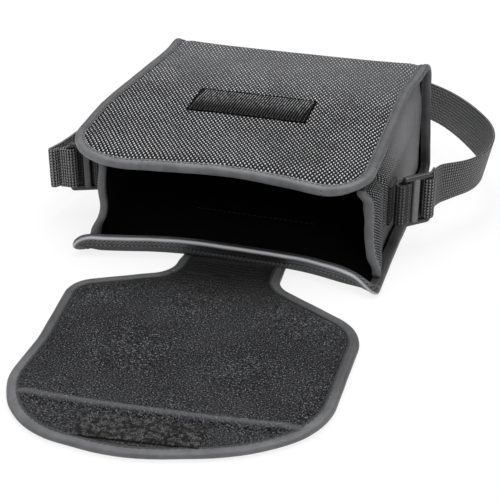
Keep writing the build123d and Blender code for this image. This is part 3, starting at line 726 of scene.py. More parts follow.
def stitch_row_tree():
    """Lays one bead of thread after another along loose lines."""
    made = Pattern(
        "stitch_row", Pitch=("Float", 0.0032), Stitch_length=("Float", 0.0026), Thread_width=("Float", 0.0006),
        Unevenness=("Float", 0.08), Seed=("Int", 1), Thread=("Material", None),
    )
    given = made.given
    line = made.add("GeometryNodeMeshToCurve", {"Mesh": given["Geometry"]})
    spaced = {"Curve": line.outputs["Curve"], "Length": given["Pitch"]}
    points = made.add("GeometryNodeCurveToPoints", spaced, mode="LENGTH")
    bead = made.add("GeometryNodeMeshUVSphere", {"Segments": 6, "Rings": 4, "Radius": 0.5})
    width = given["Thread width"]
    size = made.add("ShaderNodeCombineXYZ", {0: width, 1: width, 2: given["Stitch length"]})
    placed = made.instances(points, bead, Rotation=points.outputs["Rotation"], Scale=size.outputs[0])
    ends = ({0: (end,) * 3, "Scale": given["Unevenness"]} for end in (-1, 1))
    low, high = (made.add("ShaderNodeVectorMath", values, operation="SCALE").outputs[0] for values in ends)
    turns = {"Min": low, "Max": high, "Seed": given["Seed"]}
    chance = made.add("FunctionNodeRandomValue", turns, data_type="FLOAT_VECTOR")
    turned = {"Instances": placed, "Rotation": chance.outputs["Value"]}
    return made.end(made.add("GeometryNodeRotateInstances", turned).outputs["Instances"], "Thread")


def run_nodes(source, tree, name, **values):
    """Puts a node tree on an object, sets its named inputs, and returns the plain mesh that it makes."""
    scene.collection.objects.link(source)
    modifier = source.modifiers.new("made", "NODES")
    modifier.node_group = tree
    names = {s.name: s.identifier for s in tree.interface.items_tree if s.in_out == "INPUT"}
    for label, value in values.items():
        modifier[names[label.replace("_", " ")]] = value
    source.update_tag()
    graph = bpy.context.evaluated_depsgraph_get()
    mesh = bpy.data.meshes.new_from_object(source.evaluated_get(graph))
    bpy.data.objects.remove(source)
    mesh.name = name
    mesh.polygons.foreach_set("use_smooth", [True] * len(mesh.polygons))
    return bpy.data.objects.new(name, mesh)


def beads(paths, name, **values):
    """Rows of beads along lines given in millimetres."""
    points, edges = [], []
    for path in paths:
        edges += [(len(points) + i, len(points) + i + 1) for i in range(len(path) - 1)]
        points += (np.asarray(path) * 0.001).tolist()
    mesh = bpy.data.meshes.new("lines")
    mesh.from_pydata(points, edges, [])
    return run_nodes(bpy.data.objects.new("lines", mesh), stitch_row, name, **{"Thread": sewing_thread, **values})


stitch_row = stitch_row_tree()
sewing_thread = grained("sewing_thread", 2500.0, 0.008, 0.03, 0.5, 0.00005)


# Side panels, called gussets: outer cloth, foam and lining, set in from the bag's edges. The left one is folded
# in at the mouth, and the right one has a soft pleat beside the strap's tab. Tape binds their mouth edges.
sides = ((-1, "left"), (1, "right"))
gusset_margin, gusset_width = 4.0, 55.0
tab_low, tab_high, tab_y = 17.5, 42.5, mouth_y + 46.0
right_mouth_slant, left_mouth_slant = 14.0, 0.36
left_fold, pleat_place, pleat_depth, mouth_splay = 2.9, 31.0, 2.4, 4.2
# From the middle of the bag, at each distance from the mouth: the gusset's foot, its middle and its top.
gusset_spans = {
    -1: ((0, 82.5, 80.3, 82.6), (22, 80.5, 85.0, 91.5), (62, 80.5, 87.0, 96.0), (165, 80.0, 81.5, 80.0)),
    1: ((0, 88.0, 85.0, 79.5), (22, 86.0, 85.0, 76.0), (62, 85.0, 87.0, 74.4), (165, 83.0, 82.5, 80.0)),
}


def gusset_at(side, d, height, depth):
    """A point of a gusset: d from the mouth, height from 0 at the back panel to 1 at the front panel."""
    d, height = np.broadcast_arrays(np.asarray(d, float), np.asarray(height, float))
    span = np.array(gusset_spans[side], float)
    bottom, middle, top = (np.interp(d, span[:, 0], span[:, k]) for k in (1, 2, 3))
    back_face = np.interp(d, [0, 8, 24, 56, 72], [3.6, 1.6, 1.4, 1.4, 0]) + gusset_margin
    front_face = mouth_depth + front_slope * d - gusset_margin
    z = back_face + (front_face - back_face) * height
    x = bottom + (middle - bottom) * smooth(z, back_face + 1.0, tab_low - 1.5)
    x = x + (top - middle) * smooth(z, tab_high + 1.5, front_face - 0.5)
    if side < 0:
        x = x - left_fold * bell(z, 21.0, 8.0) * (1 - smooth(d, 4.0, 34.0))
        mouth = left_mouth_slant * (z - 8.0)
    else:
        pleat = bell(d, pleat_place + 0.12 * (z - 30.0), 4.0) * smooth(z, 14.0, 30.0)
        splay = mouth_splay * (1 - smooth(z, 6.0, 32.0)) - 1.6 * bell(z, 43.0, 6.0)
        x = x - pleat_depth * pleat * (1 - smooth(z, 50.0, 62.0))
        x = x + 1.2 * bell(d, 18.0, 9.0) * np.sin(np.pi * height)
        x = x + splay * (1 - smooth(d, 2.0, 42.0))
        mouth = right_mouth_slant / mouth_depth * z
    x = x + 0.5 * np.sin(d / 13.0) * np.sin(np.pi * height)
    return np.stack([side * (x - depth), mouth_y + d + mouth * (1 - smooth(d, 0.0, 60.0)), z], -1)


gusset_cloth = basket_weave("gusset_weave", 0.4, 0.004, 1.45, 25.0, 105.0, 0.2)
gusset_tape_cloth = tape_cloth("binding_tape", 0.12)
gusset_rows = np.concatenate([np.linspace(0.8, 14, 9), np.linspace(16.4, 160.5, 60)])
d_grid, h_grid = np.meshgrid(gusset_rows, spread(34, -0.02, 1.02, 0.25), indexing="ij")
gusset_wall = pressed(d_grid)
gusset_dent = (wall - gusset_wall) / 2
heights = np.linspace(-0.03, 1.03, 34)
for side, side_name in sides:
    for name, near_face, far_face, material, slot in (
        ("outer", 0.0, fabric_thick, gusset_cloth, "shell_fabric"),
        ("padding", fabric_thick, wall - lining_thick, grey_foam, "foam"),
        ("lining", wall - lining_thick, wall, shaded_lining, "lining"),
    ):
        upper, lower = (
            gusset_at(side, d_grid, h_grid, gusset_dent + gusset_wall * face / wall)
            for face in (near_face, far_face)
        )
        node = f"gusset_{side_name}_{name}"
        uv = np.stack([h_grid * gusset_width, d_grid], -1)
        piece = link(closed_cloth(node + "_cloth", upper, lower, uv, material), "case", (node,))

    def on_gusset_rim(b, n):
        return gusset_at(side, np.broadcast_to(b, heights.shape), heights, wall / 2 - n)

    node = f"gusset_binding_{side_name}"
    tape = swept_tape(
        node + "_tape", heights * 50.0, on_gusset_rim, rim_wall / 2, gusset_tape_cloth, seed=5.0 + side,
    )
    link(tape, "case", (node,))
    for face in (1, -1):
        bag_stitch_paths.append(on_gusset_rim(stitch_line, face * (rim_wall / 2 + stitch_rise))[2:-2])

root_reach, root_left, root_right = 60.0, -33.0, 39.0
root_seam = np.stack([np.linspace(root_left, root_right, 40), np.full(40, wrap_run - root_reach)], -1)
bag_stitch_paths.append(on_wrap(root_seam, wall - 0.05))
link(beads(bag_stitch_paths, "bag_stitches", Seed=3), "case")


# Hook patch: stiff hook tape sewn flat on the front panel, with rows of hooks that run from mouth to base. Its
# hooks are painted pale towards the base as a highlight, and a row of stitches runs round it.
hook_middle, hook_length, hook_width = -8.5, 75.0, 28.0
hook_from_mouth = 69.0
hook_base, hook_border, hook_pitch, hook_inset = 0.5, 2.4, 1.72, 1.7
hook_groove, seam_rise = 0.3, 0.32
hook_cloth = grained("hook_tape", 1200.0, 0.0005, 0.003, 0.7, 0.0001, gloss=0.04)
bristle_shade = Shade("hook_rows")
bristle_noise = bristle_shade.noise(800.0)
# Random tone, times a painted highlight that makes the hooks paler towards the base.
bristle_tone_and_highlight = bristle_shade.times(
    bristle_shade.ramp(bristle_noise, 0.4, 0.62, 0.2, 1.0),
    bristle_shade.ramp(bristle_shade.place_axis(1), -0.009, 0.007, 0.08, 1.0),
)
bristle_colour = bristle_shade.blend(bristle_tone_and_highlight, grey(0.001), grey(0.38, 0.02))
hook_bristle = bristle_shade.surface(bristle_colour, 0.4, bristle_noise, 0.00003, gloss=0.3)


def on_front(x, d, above):
    """A point on the front panel, that far above its cloth."""
    x, d = np.broadcast_arrays(np.asarray(x, float), np.asarray(d, float))
    return on_wrap(np.stack([x, d * front_stretch], -1), -above)


hook_x = np.linspace(hook_middle - hook_length / 2, hook_middle + hook_length / 2, 60)
hook_d = np.linspace(hook_from_mouth, hook_from_mouth + hook_width, 24)
grid_d, grid_x = np.meshgrid(hook_d, hook_x, indexing="ij")
from_edge = np.minimum.reduce([grid_x - hook_x[0], hook_x[-1] - grid_x, grid_d - hook_d[0], hook_d[-1] - grid_d])
hook_top = on_front(grid_x, grid_d, hook_base - hook_groove * bell(from_edge, 1.9, 0.8))
hook_sole = on_front(grid_x, grid_d, -0.05)
hook_piece = closed_cloth("hook_tape", hook_top, hook_sole, np.stack([grid_x, grid_d], -1), hook_cloth)
link(hook_piece, "case", ("hook_patch",))
row_share = np.linspace(0, 1, 12)
row_d = hook_d[0] + hook_border + row_share * (hook_width - 2 * hook_border)
row_x = np.arange(hook_x[0] + hook_border + 0.5, hook_x[-1] - hook_border, hook_pitch)
hook_rows = [on_front(x - 0.6 + 1.8 * row_share ** 2, row_d, hook_base + 0.15) for x in row_x]
hook_sizes = {"Pitch": 0.00105, "Stitch_length": 0.0015, "Thread_width": 0.0007, "Unevenness": 0.05}
link(beads(hook_rows, "hook_rows", Thread=hook_bristle, Seed=11, **hook_sizes), "case")
seam_x = hook_x[[0, -1, -1, 0, 0]] + np.array([1, -1, -1, 1, 1]) * hook_inset
seam_d = hook_d[[0, 0, -1, -1, 0]] + np.array([1, 1, -1, -1, 1]) * hook_inset
hook_seam = along(np.stack([seam_x, seam_d], 1), np.linspace(0, 194, 130))
hook_seam = on_front(hook_seam[:, 0], hook_seam[:, 1], seam_rise)
link(beads([hook_seam], "hook_stitches", Seed=5), "case")


# The closing flap lies open on the ground, lining up: outer cloth, a foam sheet and lining, bound all round. A
# narrow neck carries it, sewn flat under the back panel. Beyond the crease there is no foam.
flap_start = np.array([flap_x, mouth_y - 13.0])
flap_turn = radians(6.0)
flap_across = np.array([cos(flap_turn), sin(flap_turn)])
flap_back = np.array([-sin(flap_turn), cos(flap_turn)])
flap_full, flap_past_crease = 4.0, 1.6
flap_rim, tip_rim = 2.4, 1.3
flap_lift, hidden_low, hidden_high = 0.65, 0.35, 1.15
ridge_height, neck_crease_pitch = 0.75, 3.1
neck_line, hidden_end = -8.0, 73.0
crease_reach, crease_bow, crease_middle = 141.2, 0.00065, 10.0
flap_corners = [
    (-28.3, hidden_end), (-28.3, -6.7), (-80.6, -28.7), (-77.2, -88.0), (-79.6, -124.2), (-66.0, -161.0),
    (-8.0, -172.7), (47.4, -159.8), (79.6, -133.6), (85.4, -48.0), (32.9, -11.9), (32.9, hidden_end),
]
flap_outline = rounded(flap_corners, [0, 16, 18, 60, 40, 50, 90, 90, 45, 30, 16, 0], step=4.0)
flap_run = lengths(flap_outline)[-1]
neck_left, neck_right, tip_left, tip_right = (
    mark_at(flap_outline, p) for p in ((-28.3, neck_line), (32.9, neck_line), (-71.0, -147.0), (72.0, -138.0))
)


def from_crease(u, v):
    """How far a point lies behind the line where the foam ends, which is bowed a little."""
    return v + crease_reach - crease_bow * (u - crease_middle) ** 2


def flap_levels(u, v, near):
    """The flap's underside and top above the ground, thin under its tape, past the crease and under the case."""
    inside = smooth(near, press_start - 0.6, 11.0)
    past = 1 - smooth(from_crease(u, v), -1.6, 3.2)
    hidden = smooth(v, 4.0, 21.0)
    rim = flap_rim + (tip_rim - flap_rim) * past
    body = flap_full + (flap_past_crease - flap_full) * past
    low = flap_lift + (0.45 * (1 - past) + 0.4 * past) * (1 - inside)
    ridge = ridge_height * bell(from_crease(u, v), 2.4, 1.5)
    slack = 0.16 * np.sin(u / 17.0 + v / 29.0) + 0.12 * np.sin(v / 13.0 - u / 23.0 + 1.0)
    creases = 0.16 * smooth(v, -34.0, -8.0) * np.sin(2 * pi * (v + 2.0 * np.sin(u / 9.0)) / neck_crease_pitch)
    high = low + rim + (body - rim) * inside + (ridge + slack + creases) * inside * (1 - hidden)
    return low + (hidden_low - low) * hidden, high + (hidden_high - high) * hidden


def on_flap(u, v, height):
    """A point of the flap in the shared frame."""
    u, v, height = np.broadcast_arrays(u, v, height)
    flat = flap_start + u[..., None] * flap_across + v[..., None] * flap_back
    return np.concatenate([flat, height[..., None]], -1)


def side_at(v, first, last):
    """The outline's place across at given distances along the flap, on one side of the neck."""
    line = along(flap_outline, np.linspace(first, last, 400))
    order = np.argsort(line[:, 1])
    return np.stack([np.interp(v, line[order, 1], line[order, 0]), v], 1)


neck_steps = np.concatenate([np.linspace(hidden_end, 22, 14), np.linspace(21, neck_line, 50)])
neck_side_left, neck_side_right = side_at(neck_steps, 0.0, neck_left), side_at(neck_steps, neck_right, flap_run)
neck_flat = grid_between(neck_side_left, neck_side_right, spread(44, 0.0, 1.0))
left_path = along(flap_outline, np.linspace(neck_left, tip_left, 118))
right_path = along(flap_outline, np.linspace(neck_right, tip_right, 118))
left_path[0], right_path[0] = neck_side_left[-1], neck_side_right[-1]
flap_columns = spread(84, 0.0, 1.0)
flap_flat = grid_between(left_path, right_path, flap_columns)
tip_curve = along(flap_outline, tip_left + (tip_right - tip_left) * flap_columns)
flap_flat += (tip_curve - flap_flat[-1])[None] * np.linspace(0, 1, len(left_path))[:, None, None] ** 2
for flat in (flap_flat, neck_flat):
    flat[:, 0, 0] += edge_gap
    flat[:, -1, 0] -= edge_gap
flap_flat[-1, 1:-1, 1] += edge_gap

flap_shade = Shade("flap_lining")
flap_u, flap_v = flap_shade.cloth_axes()
flap_fine = flap_shade.noise(1300.0, 4.0)
flap_bow = flap_shade.maths("POWER", flap_shade.maths("ADD", flap_u, -crease_middle), 2.0)
behind_crease = flap_shade.maths("ADD", flap_v, crease_reach)
behind_crease = flap_shade.times_add(flap_bow, -crease_bow, behind_crease)
# Painted highlight along the ridge where the foam ends.
ridge_highlight = flap_shade.times(
    flap_shade.ramp(behind_crease, 0.2, 2.4), flap_shade.ramp(behind_crease, 5.2, 2.8), 0.5,
)
# Painted shade: the lining and its flecks darken towards the neck, in the case's shadow.
painted_neck_shade = flap_shade.ramp(flap_v, -50.0, -2.0, 1.0, 0.12)
tip_light = flap_shade.ramp(flap_v, -95.0, -165.0, 1.0, 1.5)
flap_cloud = flap_shade.cloudy(45.0, 3.0, 0.8, 1.15)
flap_tone = flap_shade.times(flap_shade.ramp(flap_fine, 0.38, 0.64), flap_cloud, painted_neck_shade, tip_light)
flap_colour = flap_shade.blend(flap_tone, grey(0.001, 0.03), grey(0.05, 0.04))
flap_flecks = flap_shade.times(flap_shade.ramp(flap_shade.noise(1300.0, 1.0), 0.62, 0.76), painted_neck_shade)
flap_colour = flap_shade.blend(flap_flecks, flap_colour, grey(0.22, 0.03))
flap_colour = flap_shade.blend(ridge_highlight, flap_colour, grey(0.16, 0.03))
flap_felt = flap_shade.surface(flap_colour, 0.9, flap_fine, 0.0003, gloss=0.08, sheen=0.04)


def fold_line(start, end):
    """The two places, behind and before a fold, between which cloth bends."""
    return on_flap(0.0, start, 2.6) * 0.001, on_flap(0.0, end, 2.6) * 0.001


flap_bends = {
    "neck": (("case", "flap_top"), fold_line(5.0, -5.0)),
    "flap": (("flap_top", "flap_front"), fold_line(-50.0, -62.0)),
}
for part, flat in (("neck", neck_flat), ("flap", flap_flat)):
    low, high = flap_levels(flat[..., 0], flat[..., 1], edge_distance(flat, flap_outline))
    for layer, share_low, share_high, material, slot, replaced in (
        ("outer_cloth", 0.0, 0.2, outer_cloth, "shell_fabric", ("flap_top_outer", "flap_front_outer")),
        ("foam", 0.2, 0.8, grey_foam, "foam", ("flap_top_board", "flap_front_board")),
        ("lining", 0.8, 1.0, flap_felt, "lining", ("flap_top_lining", "flap_front_lining")),
    ):
        if part == "neck":
            replaced = ("flap_root",) if layer == "outer_cloth" else ()
        upper, under = (
            on_flap(flat[..., 0], flat[..., 1], low + (high - low) * share) for share in (share_high, share_low)
        )
        piece = link(closed_cloth(f"{part}_{layer}", upper, under, flat, material), None, replaced)
        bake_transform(piece)
        if layer == "foam":
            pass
        elif part == "neck":
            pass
        else:
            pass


# The flap's binding is the same folded tape, in one length round the flap and one up each side of its neck. It
# is painted darker towards the case as shade, and so paler at the tip, and sewn through as the bag's is.
flap_tape_cloth = tape_cloth("flap_binding_tape", 0.13, far=0.5)
flap_seams = {"flap": [], "neck": []}
for name, first, last, middle in (
    ("flap", neck_left, neck_right, (0.0, -85.0)),
    ("neck_left", 18.0, neck_left, (2.0, 20.0)),
    ("neck_right", neck_right, flap_run - 18.0, (2.0, 20.0)),
):
    part = name.split("_")[0]
    run = np.linspace(first, last, max(8, int((last - first) / 1.5)))
    path = along(flap_outline, run)
    inwards = inward_steps(path, np.array(middle))
    probe = path + inwards
    low, high = flap_levels(probe[:, 0], probe[:, 1], np.full(len(run), 1.0))
    rim_middle = (low + high) / 2
    squeeze = np.minimum(0.35 + 0.65 * (high - low) / flap_rim, rim_middle / 2.5)

    def on_flap_rim(b, n):
        here = path + inwards * np.broadcast_to(b, run.shape)[:, None]
        return on_flap(here[:, 0], here[:, 1], rim_middle + n * squeeze)

    tape = swept_tape(name + "_binding", run, on_flap_rim, flap_rim / 2, flap_tape_cloth, seed=7.0, uneven=0.16)
    link(tape, None, ("flap_top_binding", "flap_front_binding") if part == "flap" else ())
    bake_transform(tape)
    for side in (1, -1):
        flap_seams[part].append(on_flap_rim(stitch_line, side * (flap_rim / 2 + 0.36)))
for part, seams in flap_seams.items():
    seam = link(beads(seams, part + "_stitches", Thread_width=0.0005, Seed=9), None)
    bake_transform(seam)


# Loop patch: soft loop tape sewn on the flap's tip, its pile teased up by use. It meets the hook tape when the
# flap is closed.
loop_corners = np.array([(-34.6, -145.2), (24.8, -143.6), (25.2, -160.2), (-34.0, -162.0)])
loop_floor, loop_top = 2.25, 3.15
loop_shade = Shade("loop_tape")
loop_pile = loop_shade.noise(1100.0, 3.0)
loop_colour = loop_shade.blend(loop_shade.ramp(loop_pile, 0.35, 0.65), grey(0.001), grey(0.008))
loop_cloth = loop_shade.surface(loop_colour, 0.9, loop_pile, 0.0005)
pile_shade = Shade("loop_pile")
pile_tone = pile_shade.ramp(pile_shade.noise(450.0), 0.4, 0.62)
pile_colour = pile_shade.blend(pile_tone, grey(0.006), grey(0.2))
pile_fibre = pile_shade.surface(pile_colour, 0.5, pile_tone, 0.00002)
loop_rows = np.linspace(0, 1, 14)[:, None]
loop_left = loop_corners[0] + (loop_corners[3] - loop_corners[0]) * loop_rows
loop_right = loop_corners[1] + (loop_corners[2] - loop_corners[1]) * loop_rows
loop_flat = grid_between(loop_left, loop_right, np.linspace(0, 1, 40))
loop_u, loop_v = loop_flat[..., 0], loop_flat[..., 1]
loop_upper = on_flap(loop_u, loop_v, loop_top + 0.12 * np.sin(loop_u / 1.7) * np.sin(loop_v / 1.3))
loop_under = on_flap(loop_u, loop_v, loop_floor)
loop_base = closed_cloth("loop_tape", loop_upper, loop_under, loop_flat, loop_cloth)
link(loop_base, "flap_front", ("loop_patch",))


def pile_tree():
    """Scatters small upright curls of fibre over a face."""
    made = Pattern(
        "loop_pile", Density=("Float", 2.4e6), Curl_size=("Float", 0.0008), Fibre_width=("Float", 0.00009),
        Seed=("Int", 4), Fibre=("Material", None),
    )
    given = made.given
    on_face = {"Mesh": given["Geometry"], "Density": given["Density"], "Seed": given["Seed"]}
    scatter = made.add("GeometryNodeDistributePointsOnFaces", on_face)
    bent = {"Resolution": 7, "Radius": 0.5, "Sweep Angle": radians(250)}
    arc = made.add("GeometryNodeCurveArc", bent).outputs["Curve"]
    upright = {"Geometry": arc, "Rotation": (radians(90), radians(35), 0), "Translation": (0, 0, 0.2)}
    stand = made.add("GeometryNodeTransform", upright).outputs["Geometry"]
    scale = made.add("ShaderNodeCombineXYZ", {axis: given["Curl size"] for axis in range(3)}).outputs[0]
    curl = made.add("GeometryNodeTransform", {"Geometry": stand, "Scale": scale}).outputs["Geometry"]
    ring = made.add("GeometryNodeCurvePrimitiveCircle", {"Resolution": 3, "Radius": given["Fibre width"]})
    swept = {"Curve": curl, "Profile Curve": ring.outputs["Curve"], "Fill Caps": True}
    fibre = made.add("GeometryNodeCurveToMesh", swept)
    turns = {"Min": (-0.5, -0.5, -pi), "Max": (0.5, 0.5, pi), "Seed": given["Seed"]}
    chance = made.add("FunctionNodeRandomValue", turns, data_type="FLOAT_VECTOR").outputs["Value"]
    return made.end(made.instances(scatter, fibre, Rotation=chance), "Fibre")


pile_floor = bpy.data.meshes.new("pile_floor")
pile_faces = grid_faces(*loop_upper.shape[:2])[1]
pile_floor.from_pydata((loop_upper.reshape(-1, 3) * 0.001).tolist(), [], pile_faces.tolist())
pile = run_nodes(bpy.data.objects.new("pile_floor", pile_floor), pile_tree(), "loop_pile_curls", Fibre=pile_fibre)
link(pile, "flap_front")


# Strap: one length of 25 mm webbing on edge. Each end goes round a buckle's outer bar and doubles back on itself,
# and the rest curves round behind the base.
webbing_width, webbing_thick, strap_z = 25.0, 1.6, 30.0
loop_radius, doubled_gap = 3.0, 0.86
bar_pitch, tab_run = 16.4, 3.4
tab_face = 88.6
tab_end_x = tab_face + 0.3 + 3.8
buckle_turns = {-1: radians(-23.5), 1: radians(44.0)}
tab_shifts = {-1: -0.5, 1: 2.5}
tab_ends, bar_ways, inner_bars, outer_bars = {}, {}, {}, {}
for side, _ in sides:
    bar_ways[side] = np.array([side * cos(buckle_turns[side]), sin(buckle_turns[side])])
    tab_ends[side] = np.array([side * tab_end_x, tab_y + tab_shifts[side]])
    inner_bars[side] = tab_ends[side] + bar_ways[side] * tab_run - np.array([0.9 * side, 0.0])
    outer_bars[side] = inner_bars[side] + bar_ways[side] * bar_pitch
webbing_section = np.array([
    (-0.5, -0.35), (-0.47, -0.5), (-0.4, -0.46), (-0.2, -0.5), (0.0, -0.47), (0.2, -0.5), (0.4, -0.46),
    (0.47, -0.5), (0.5, -0.35), (0.5, 0.35), (0.47, 0.5), (0.4, 0.46), (0.2, 0.5), (0.0, 0.47), (-0.2, 0.5),
    (-0.4, 0.46), (-0.47, 0.5), (-0.5, 0.35),
])


def webbing_shade(name, low, high, paler_end=None):
    """Ribbed webbing with zigzag picks; its last argument gives two distances along it, and how much paler it is
    past them.
    """
    shade = Shade(name)
    across, lengthwise = shade.cloth_axes()
    ribs = shade.sine(shade.times(across, 2 * pi / 1.9))
    picks = shade.sine(shade.times_add(ribs, 0.9, shade.times(lengthwise, 2 * pi / 1.6)))
    height = shade.times_add(picks, 0.36, shade.times_add(ribs, 0.22, 0.5))
    tone = shade.times(shade.ramp(height, 0.3, 1.1), shade.cloudy(900.0, 3.0, 0.6, 1.15))
    if paler_end:
        tone = shade.times(tone, shade.ramp(lengthwise, paler_end[0], paler_end[1], 1.0, paler_end[2]))
    colour = shade.blend(tone, grey(low), grey(high, 0.01))
    return shade.surface(colour, 0.5, height, 0.0004, gloss=0.3, sheen=0.05, sheen_roughness=0.4)


def ribbon(name, path, material, lean=0.0, closed=False, size=(webbing_width, webbing_thick), middle=strap_z):
    """Webbing on edge along a flat path: lean moves its top edge out, square to the path, and its foot in."""
    width, thick = size
    count = len(path)
    way = np.roll(path, -1, axis=0) - np.roll(path, 1, axis=0) if closed else np.gradient(path, axis=0)
    way /= np.linalg.norm(way, axis=1)[:, None]
    square = np.stack([way[:, 1], -way[:, 0]], 1)
    lean = np.broadcast_to(lean, count)
    rings = []
    for high, out in webbing_section:
        flat = path + square * (out * thick + lean * high * 2)[:, None]
        rings.append(np.concatenate([flat, np.full((count, 1), middle + high * width)], 1))
    rings = np.stack(rings, 1)
    around = len(webbing_section)
    faces = tube_faces(count, around, closed).tolist()
    if not closed:
        faces += [list(range(around)), list(range(count * around - 1, (count - 1) * around - 1, -1))]
    uv = tube_uv(webbing_section * np.array([width, thick]), lengths(path))
    return cloth_object(name, rings, faces, 0 if closed else 2, uv, material)


def soft_line(points, rounds=3):
    """Cuts a line's corners again and again, until it runs in one smooth curve."""
    points = np.array(points, float)
    for _ in range(rounds):
        near, far = points[:-1] * 0.75 + points[1:] * 0.25, points[:-1] * 0.25 + points[1:] * 0.75
        points = np.vstack([points[:1], np.stack([near, far], 1).reshape(-1, 2), points[-1:]])
    return points


def bar_loop(bar, way, doubled):
    """The doubled end: up to the bar, round it and away, as points beside the bar's own line."""
    way = way / np.linalg.norm(way)
    square = np.array([way[1], -way[0]])
    shoulder = min(8.5, doubled - 2.5)
    flat = rounded(
        [
            (doubled, -doubled_gap), (shoulder, -doubled_gap), (1.5, -loop_radius), (-loop_radius, -loop_radius),
            (-loop_radius, loop_radius), (1.5, loop_radius), (shoulder, doubled_gap), (doubled, 0.7),
        ],
        [0, 6, 4.5, 2.95, 2.95, 4.5, 6, 0],
        step=12.0,
    )
    return bar + flat[:, :1] * way + flat[:, 1:] * square


right_loop = bar_loop(outer_bars[1], np.array([0.06, 1.0]), 15.0)
left_loop = bar_loop(outer_bars[-1], np.array([-120.6, -49.8]) - outer_bars[-1], 7.6)[::-1]
strap_middle = [
    (109.5, 0.5), (116.3, 7.3), (122.5, 14.6), (127.6, 23.5), (130.4, 33.3), (131.1, 43.5), (130.5, 56.3),
    (126.3, 72.0), (118.3, 87.5), (104.0, 109.5), (87.0, 128.5), (66.0, 142.0), (38.0, 151.5), (5.0, 154.5),
    (-33.0, 149.0), (-68.0, 131.0), (-94.0, 102.0), (-108.5, 65.0), (-115.0, 25.0), (-117.0, -12.0),
    (-118.6, -36.0), (-120.8, -45.5), (-122.2, -50.7), (-119.4, -51.4),
]
strap_path = soft_line([right_loop[-1]] + strap_middle + [left_loop[0]])
strap_path = np.vstack([right_loop[:-1], strap_path, left_loop[1:]])
strap_path = along(strap_path, np.arange(0, lengths(strap_path)[-1], 0.9))
strap_run = lengths(strap_path)
strap_cloth = webbing_shade("webbing", 0.001, 0.27, paler_end=(strap_run[-1] - 110.0, strap_run[-1] - 60.0, 2.1))
strap_lean = 2.5 * smooth(strap_run, 42.0, 64.0) * (1 - smooth(strap_run, 125.0, 210.0))
strap_lean = strap_lean + 0.9 * smooth(strap_run, 125.0, 180.0) * (1 - smooth(strap_run, 430.0, 520.0))
link(ribbon("strap", strap_path, strap_cloth, lean=strap_lean), "strap", ("strap_webbing",))


# Buckles: moulded plastic frames with three bars, the inner one in the tab and the outer one in the strap. The
# middle bar is a paler grey.
buckle_thick, rail_height, bar_width = 2.8, 2.8, 3.0
inner_slot, middle_bar, outer_slot = 3.8, 4.0, 5.6
webbing_play, corner_round, edge_round = 0.4, 2.4, 0.75
buckle_height = webbing_width + 2 * webbing_play + 2 * rail_height
buckle_black = grained("buckle_plastic", 900.0, 0.012, 0.03, 0.3, 0.00004, gloss=0.6)
pale_middle_bar = grained("buckle_middle_bar", 500.0, 0.09, 0.17, 0.42, 0.00005, gloss=0.5)
across_stops = np.cumsum([0, bar_width, inner_slot, middle_bar, outer_slot, bar_width]) - bar_width / 2
up_stops = np.cumsum([0, rail_height, buckle_height - 2 * rail_height, rail_height]) - buckle_height / 2
cells = [(i, j) for i in range(5) for j in range(3) if not (j == 1 and i in (1, 3))]
for side, side_name in sides:
    shaped = bmesh.new()
    near_layer, far_layer = (
        [[shaped.verts.new((a, face * buckle_thick / 2, z)) for z in up_stops] for a in across_stops]
        for face in (-1, 1)
    )
    for i, j in cells:
        ring = ((i, j), (i + 1, j), (i + 1, j + 1), (i, j + 1))
        shaped.faces.new([near_layer[a][b] for a, b in ring])
        shaped.faces.new([far_layer[a][b] for a, b in ring[::-1]])
        beside = ((i, j - 1), (i + 1, j), (i, j + 1), (i - 1, j))
        for neighbour, a, b in zip(beside, ring, ring[1:] + ring[:1]):
            if neighbour not in cells:
                near_a, near_b = near_layer[a[0]][a[1]], near_layer[b[0]][b[1]]
                shaped.faces.new([near_b, near_a, far_layer[a[0]][a[1]], far_layer[b[0]][b[1]]])
    bmesh.ops.recalc_face_normals(shaped, faces=shaped.faces)
    outer_edges = [
        e for e in shaped.edges
        if all(
            min(abs(v.co.x - x) for x in (across_stops[0], across_stops[-1])) < 1e-4
            and abs(abs(v.co.z) - buckle_height / 2) < 1e-4 for v in e.verts
        ) and abs(e.verts[0].co.y - e.verts[1].co.y) > 1
    ]
    bmesh.ops.bevel(shaped, geom=outer_edges, offset=corner_round, segments=5, profile=0.5, affect="EDGES")
    sharp = [e for e in shaped.edges if len(e.link_faces) == 2 and e.calc_face_angle(0) > radians(50)]
    bmesh.ops.bevel(shaped, geom=sharp, offset=edge_round, segments=3, profile=0.5, affect="EDGES")
    bmesh.ops.recalc_face_normals(shaped, faces=shaped.faces)
    middle_low = bar_width / 2 + inner_slot - 0.1
    middle_high = middle_low + middle_bar + 0.2
    for f in shaped.faces:
        f.smooth = True
        middle = f.calc_center_median()
        f.material_index = middle_low < middle.x < middle_high and abs(middle.z) < webbing_width / 2 + 0.5
    way, start = bar_ways[side], inner_bars[side]
    for v in shaped.verts:
        a, t, z = v.co
        t *= 1.0 + 0.4 * float(smooth(abs(z), webbing_width / 2, webbing_width / 2 + 0.9))
        x, y = start + way * a + np.array([-way[1], way[0]]) * t
        v.co = Vector((x, y, strap_z + z)) * 0.001
    bmesh.ops.recalc_face_normals(shaped, faces=shaped.faces)
    buckle_mesh = bpy.data.meshes.new(f"buckle_{side_name}_frame")
    shaped.to_mesh(buckle_mesh)
    shaped.free()
    buckle_mesh.materials.append(buckle_black)
    buckle_mesh.materials.append(pale_middle_bar)
    buckle = bpy.data.objects.new(f"buckle_{side_name}_frame", buckle_mesh)
    link(buckle, "strap", (f"buckle_{side_name}",))


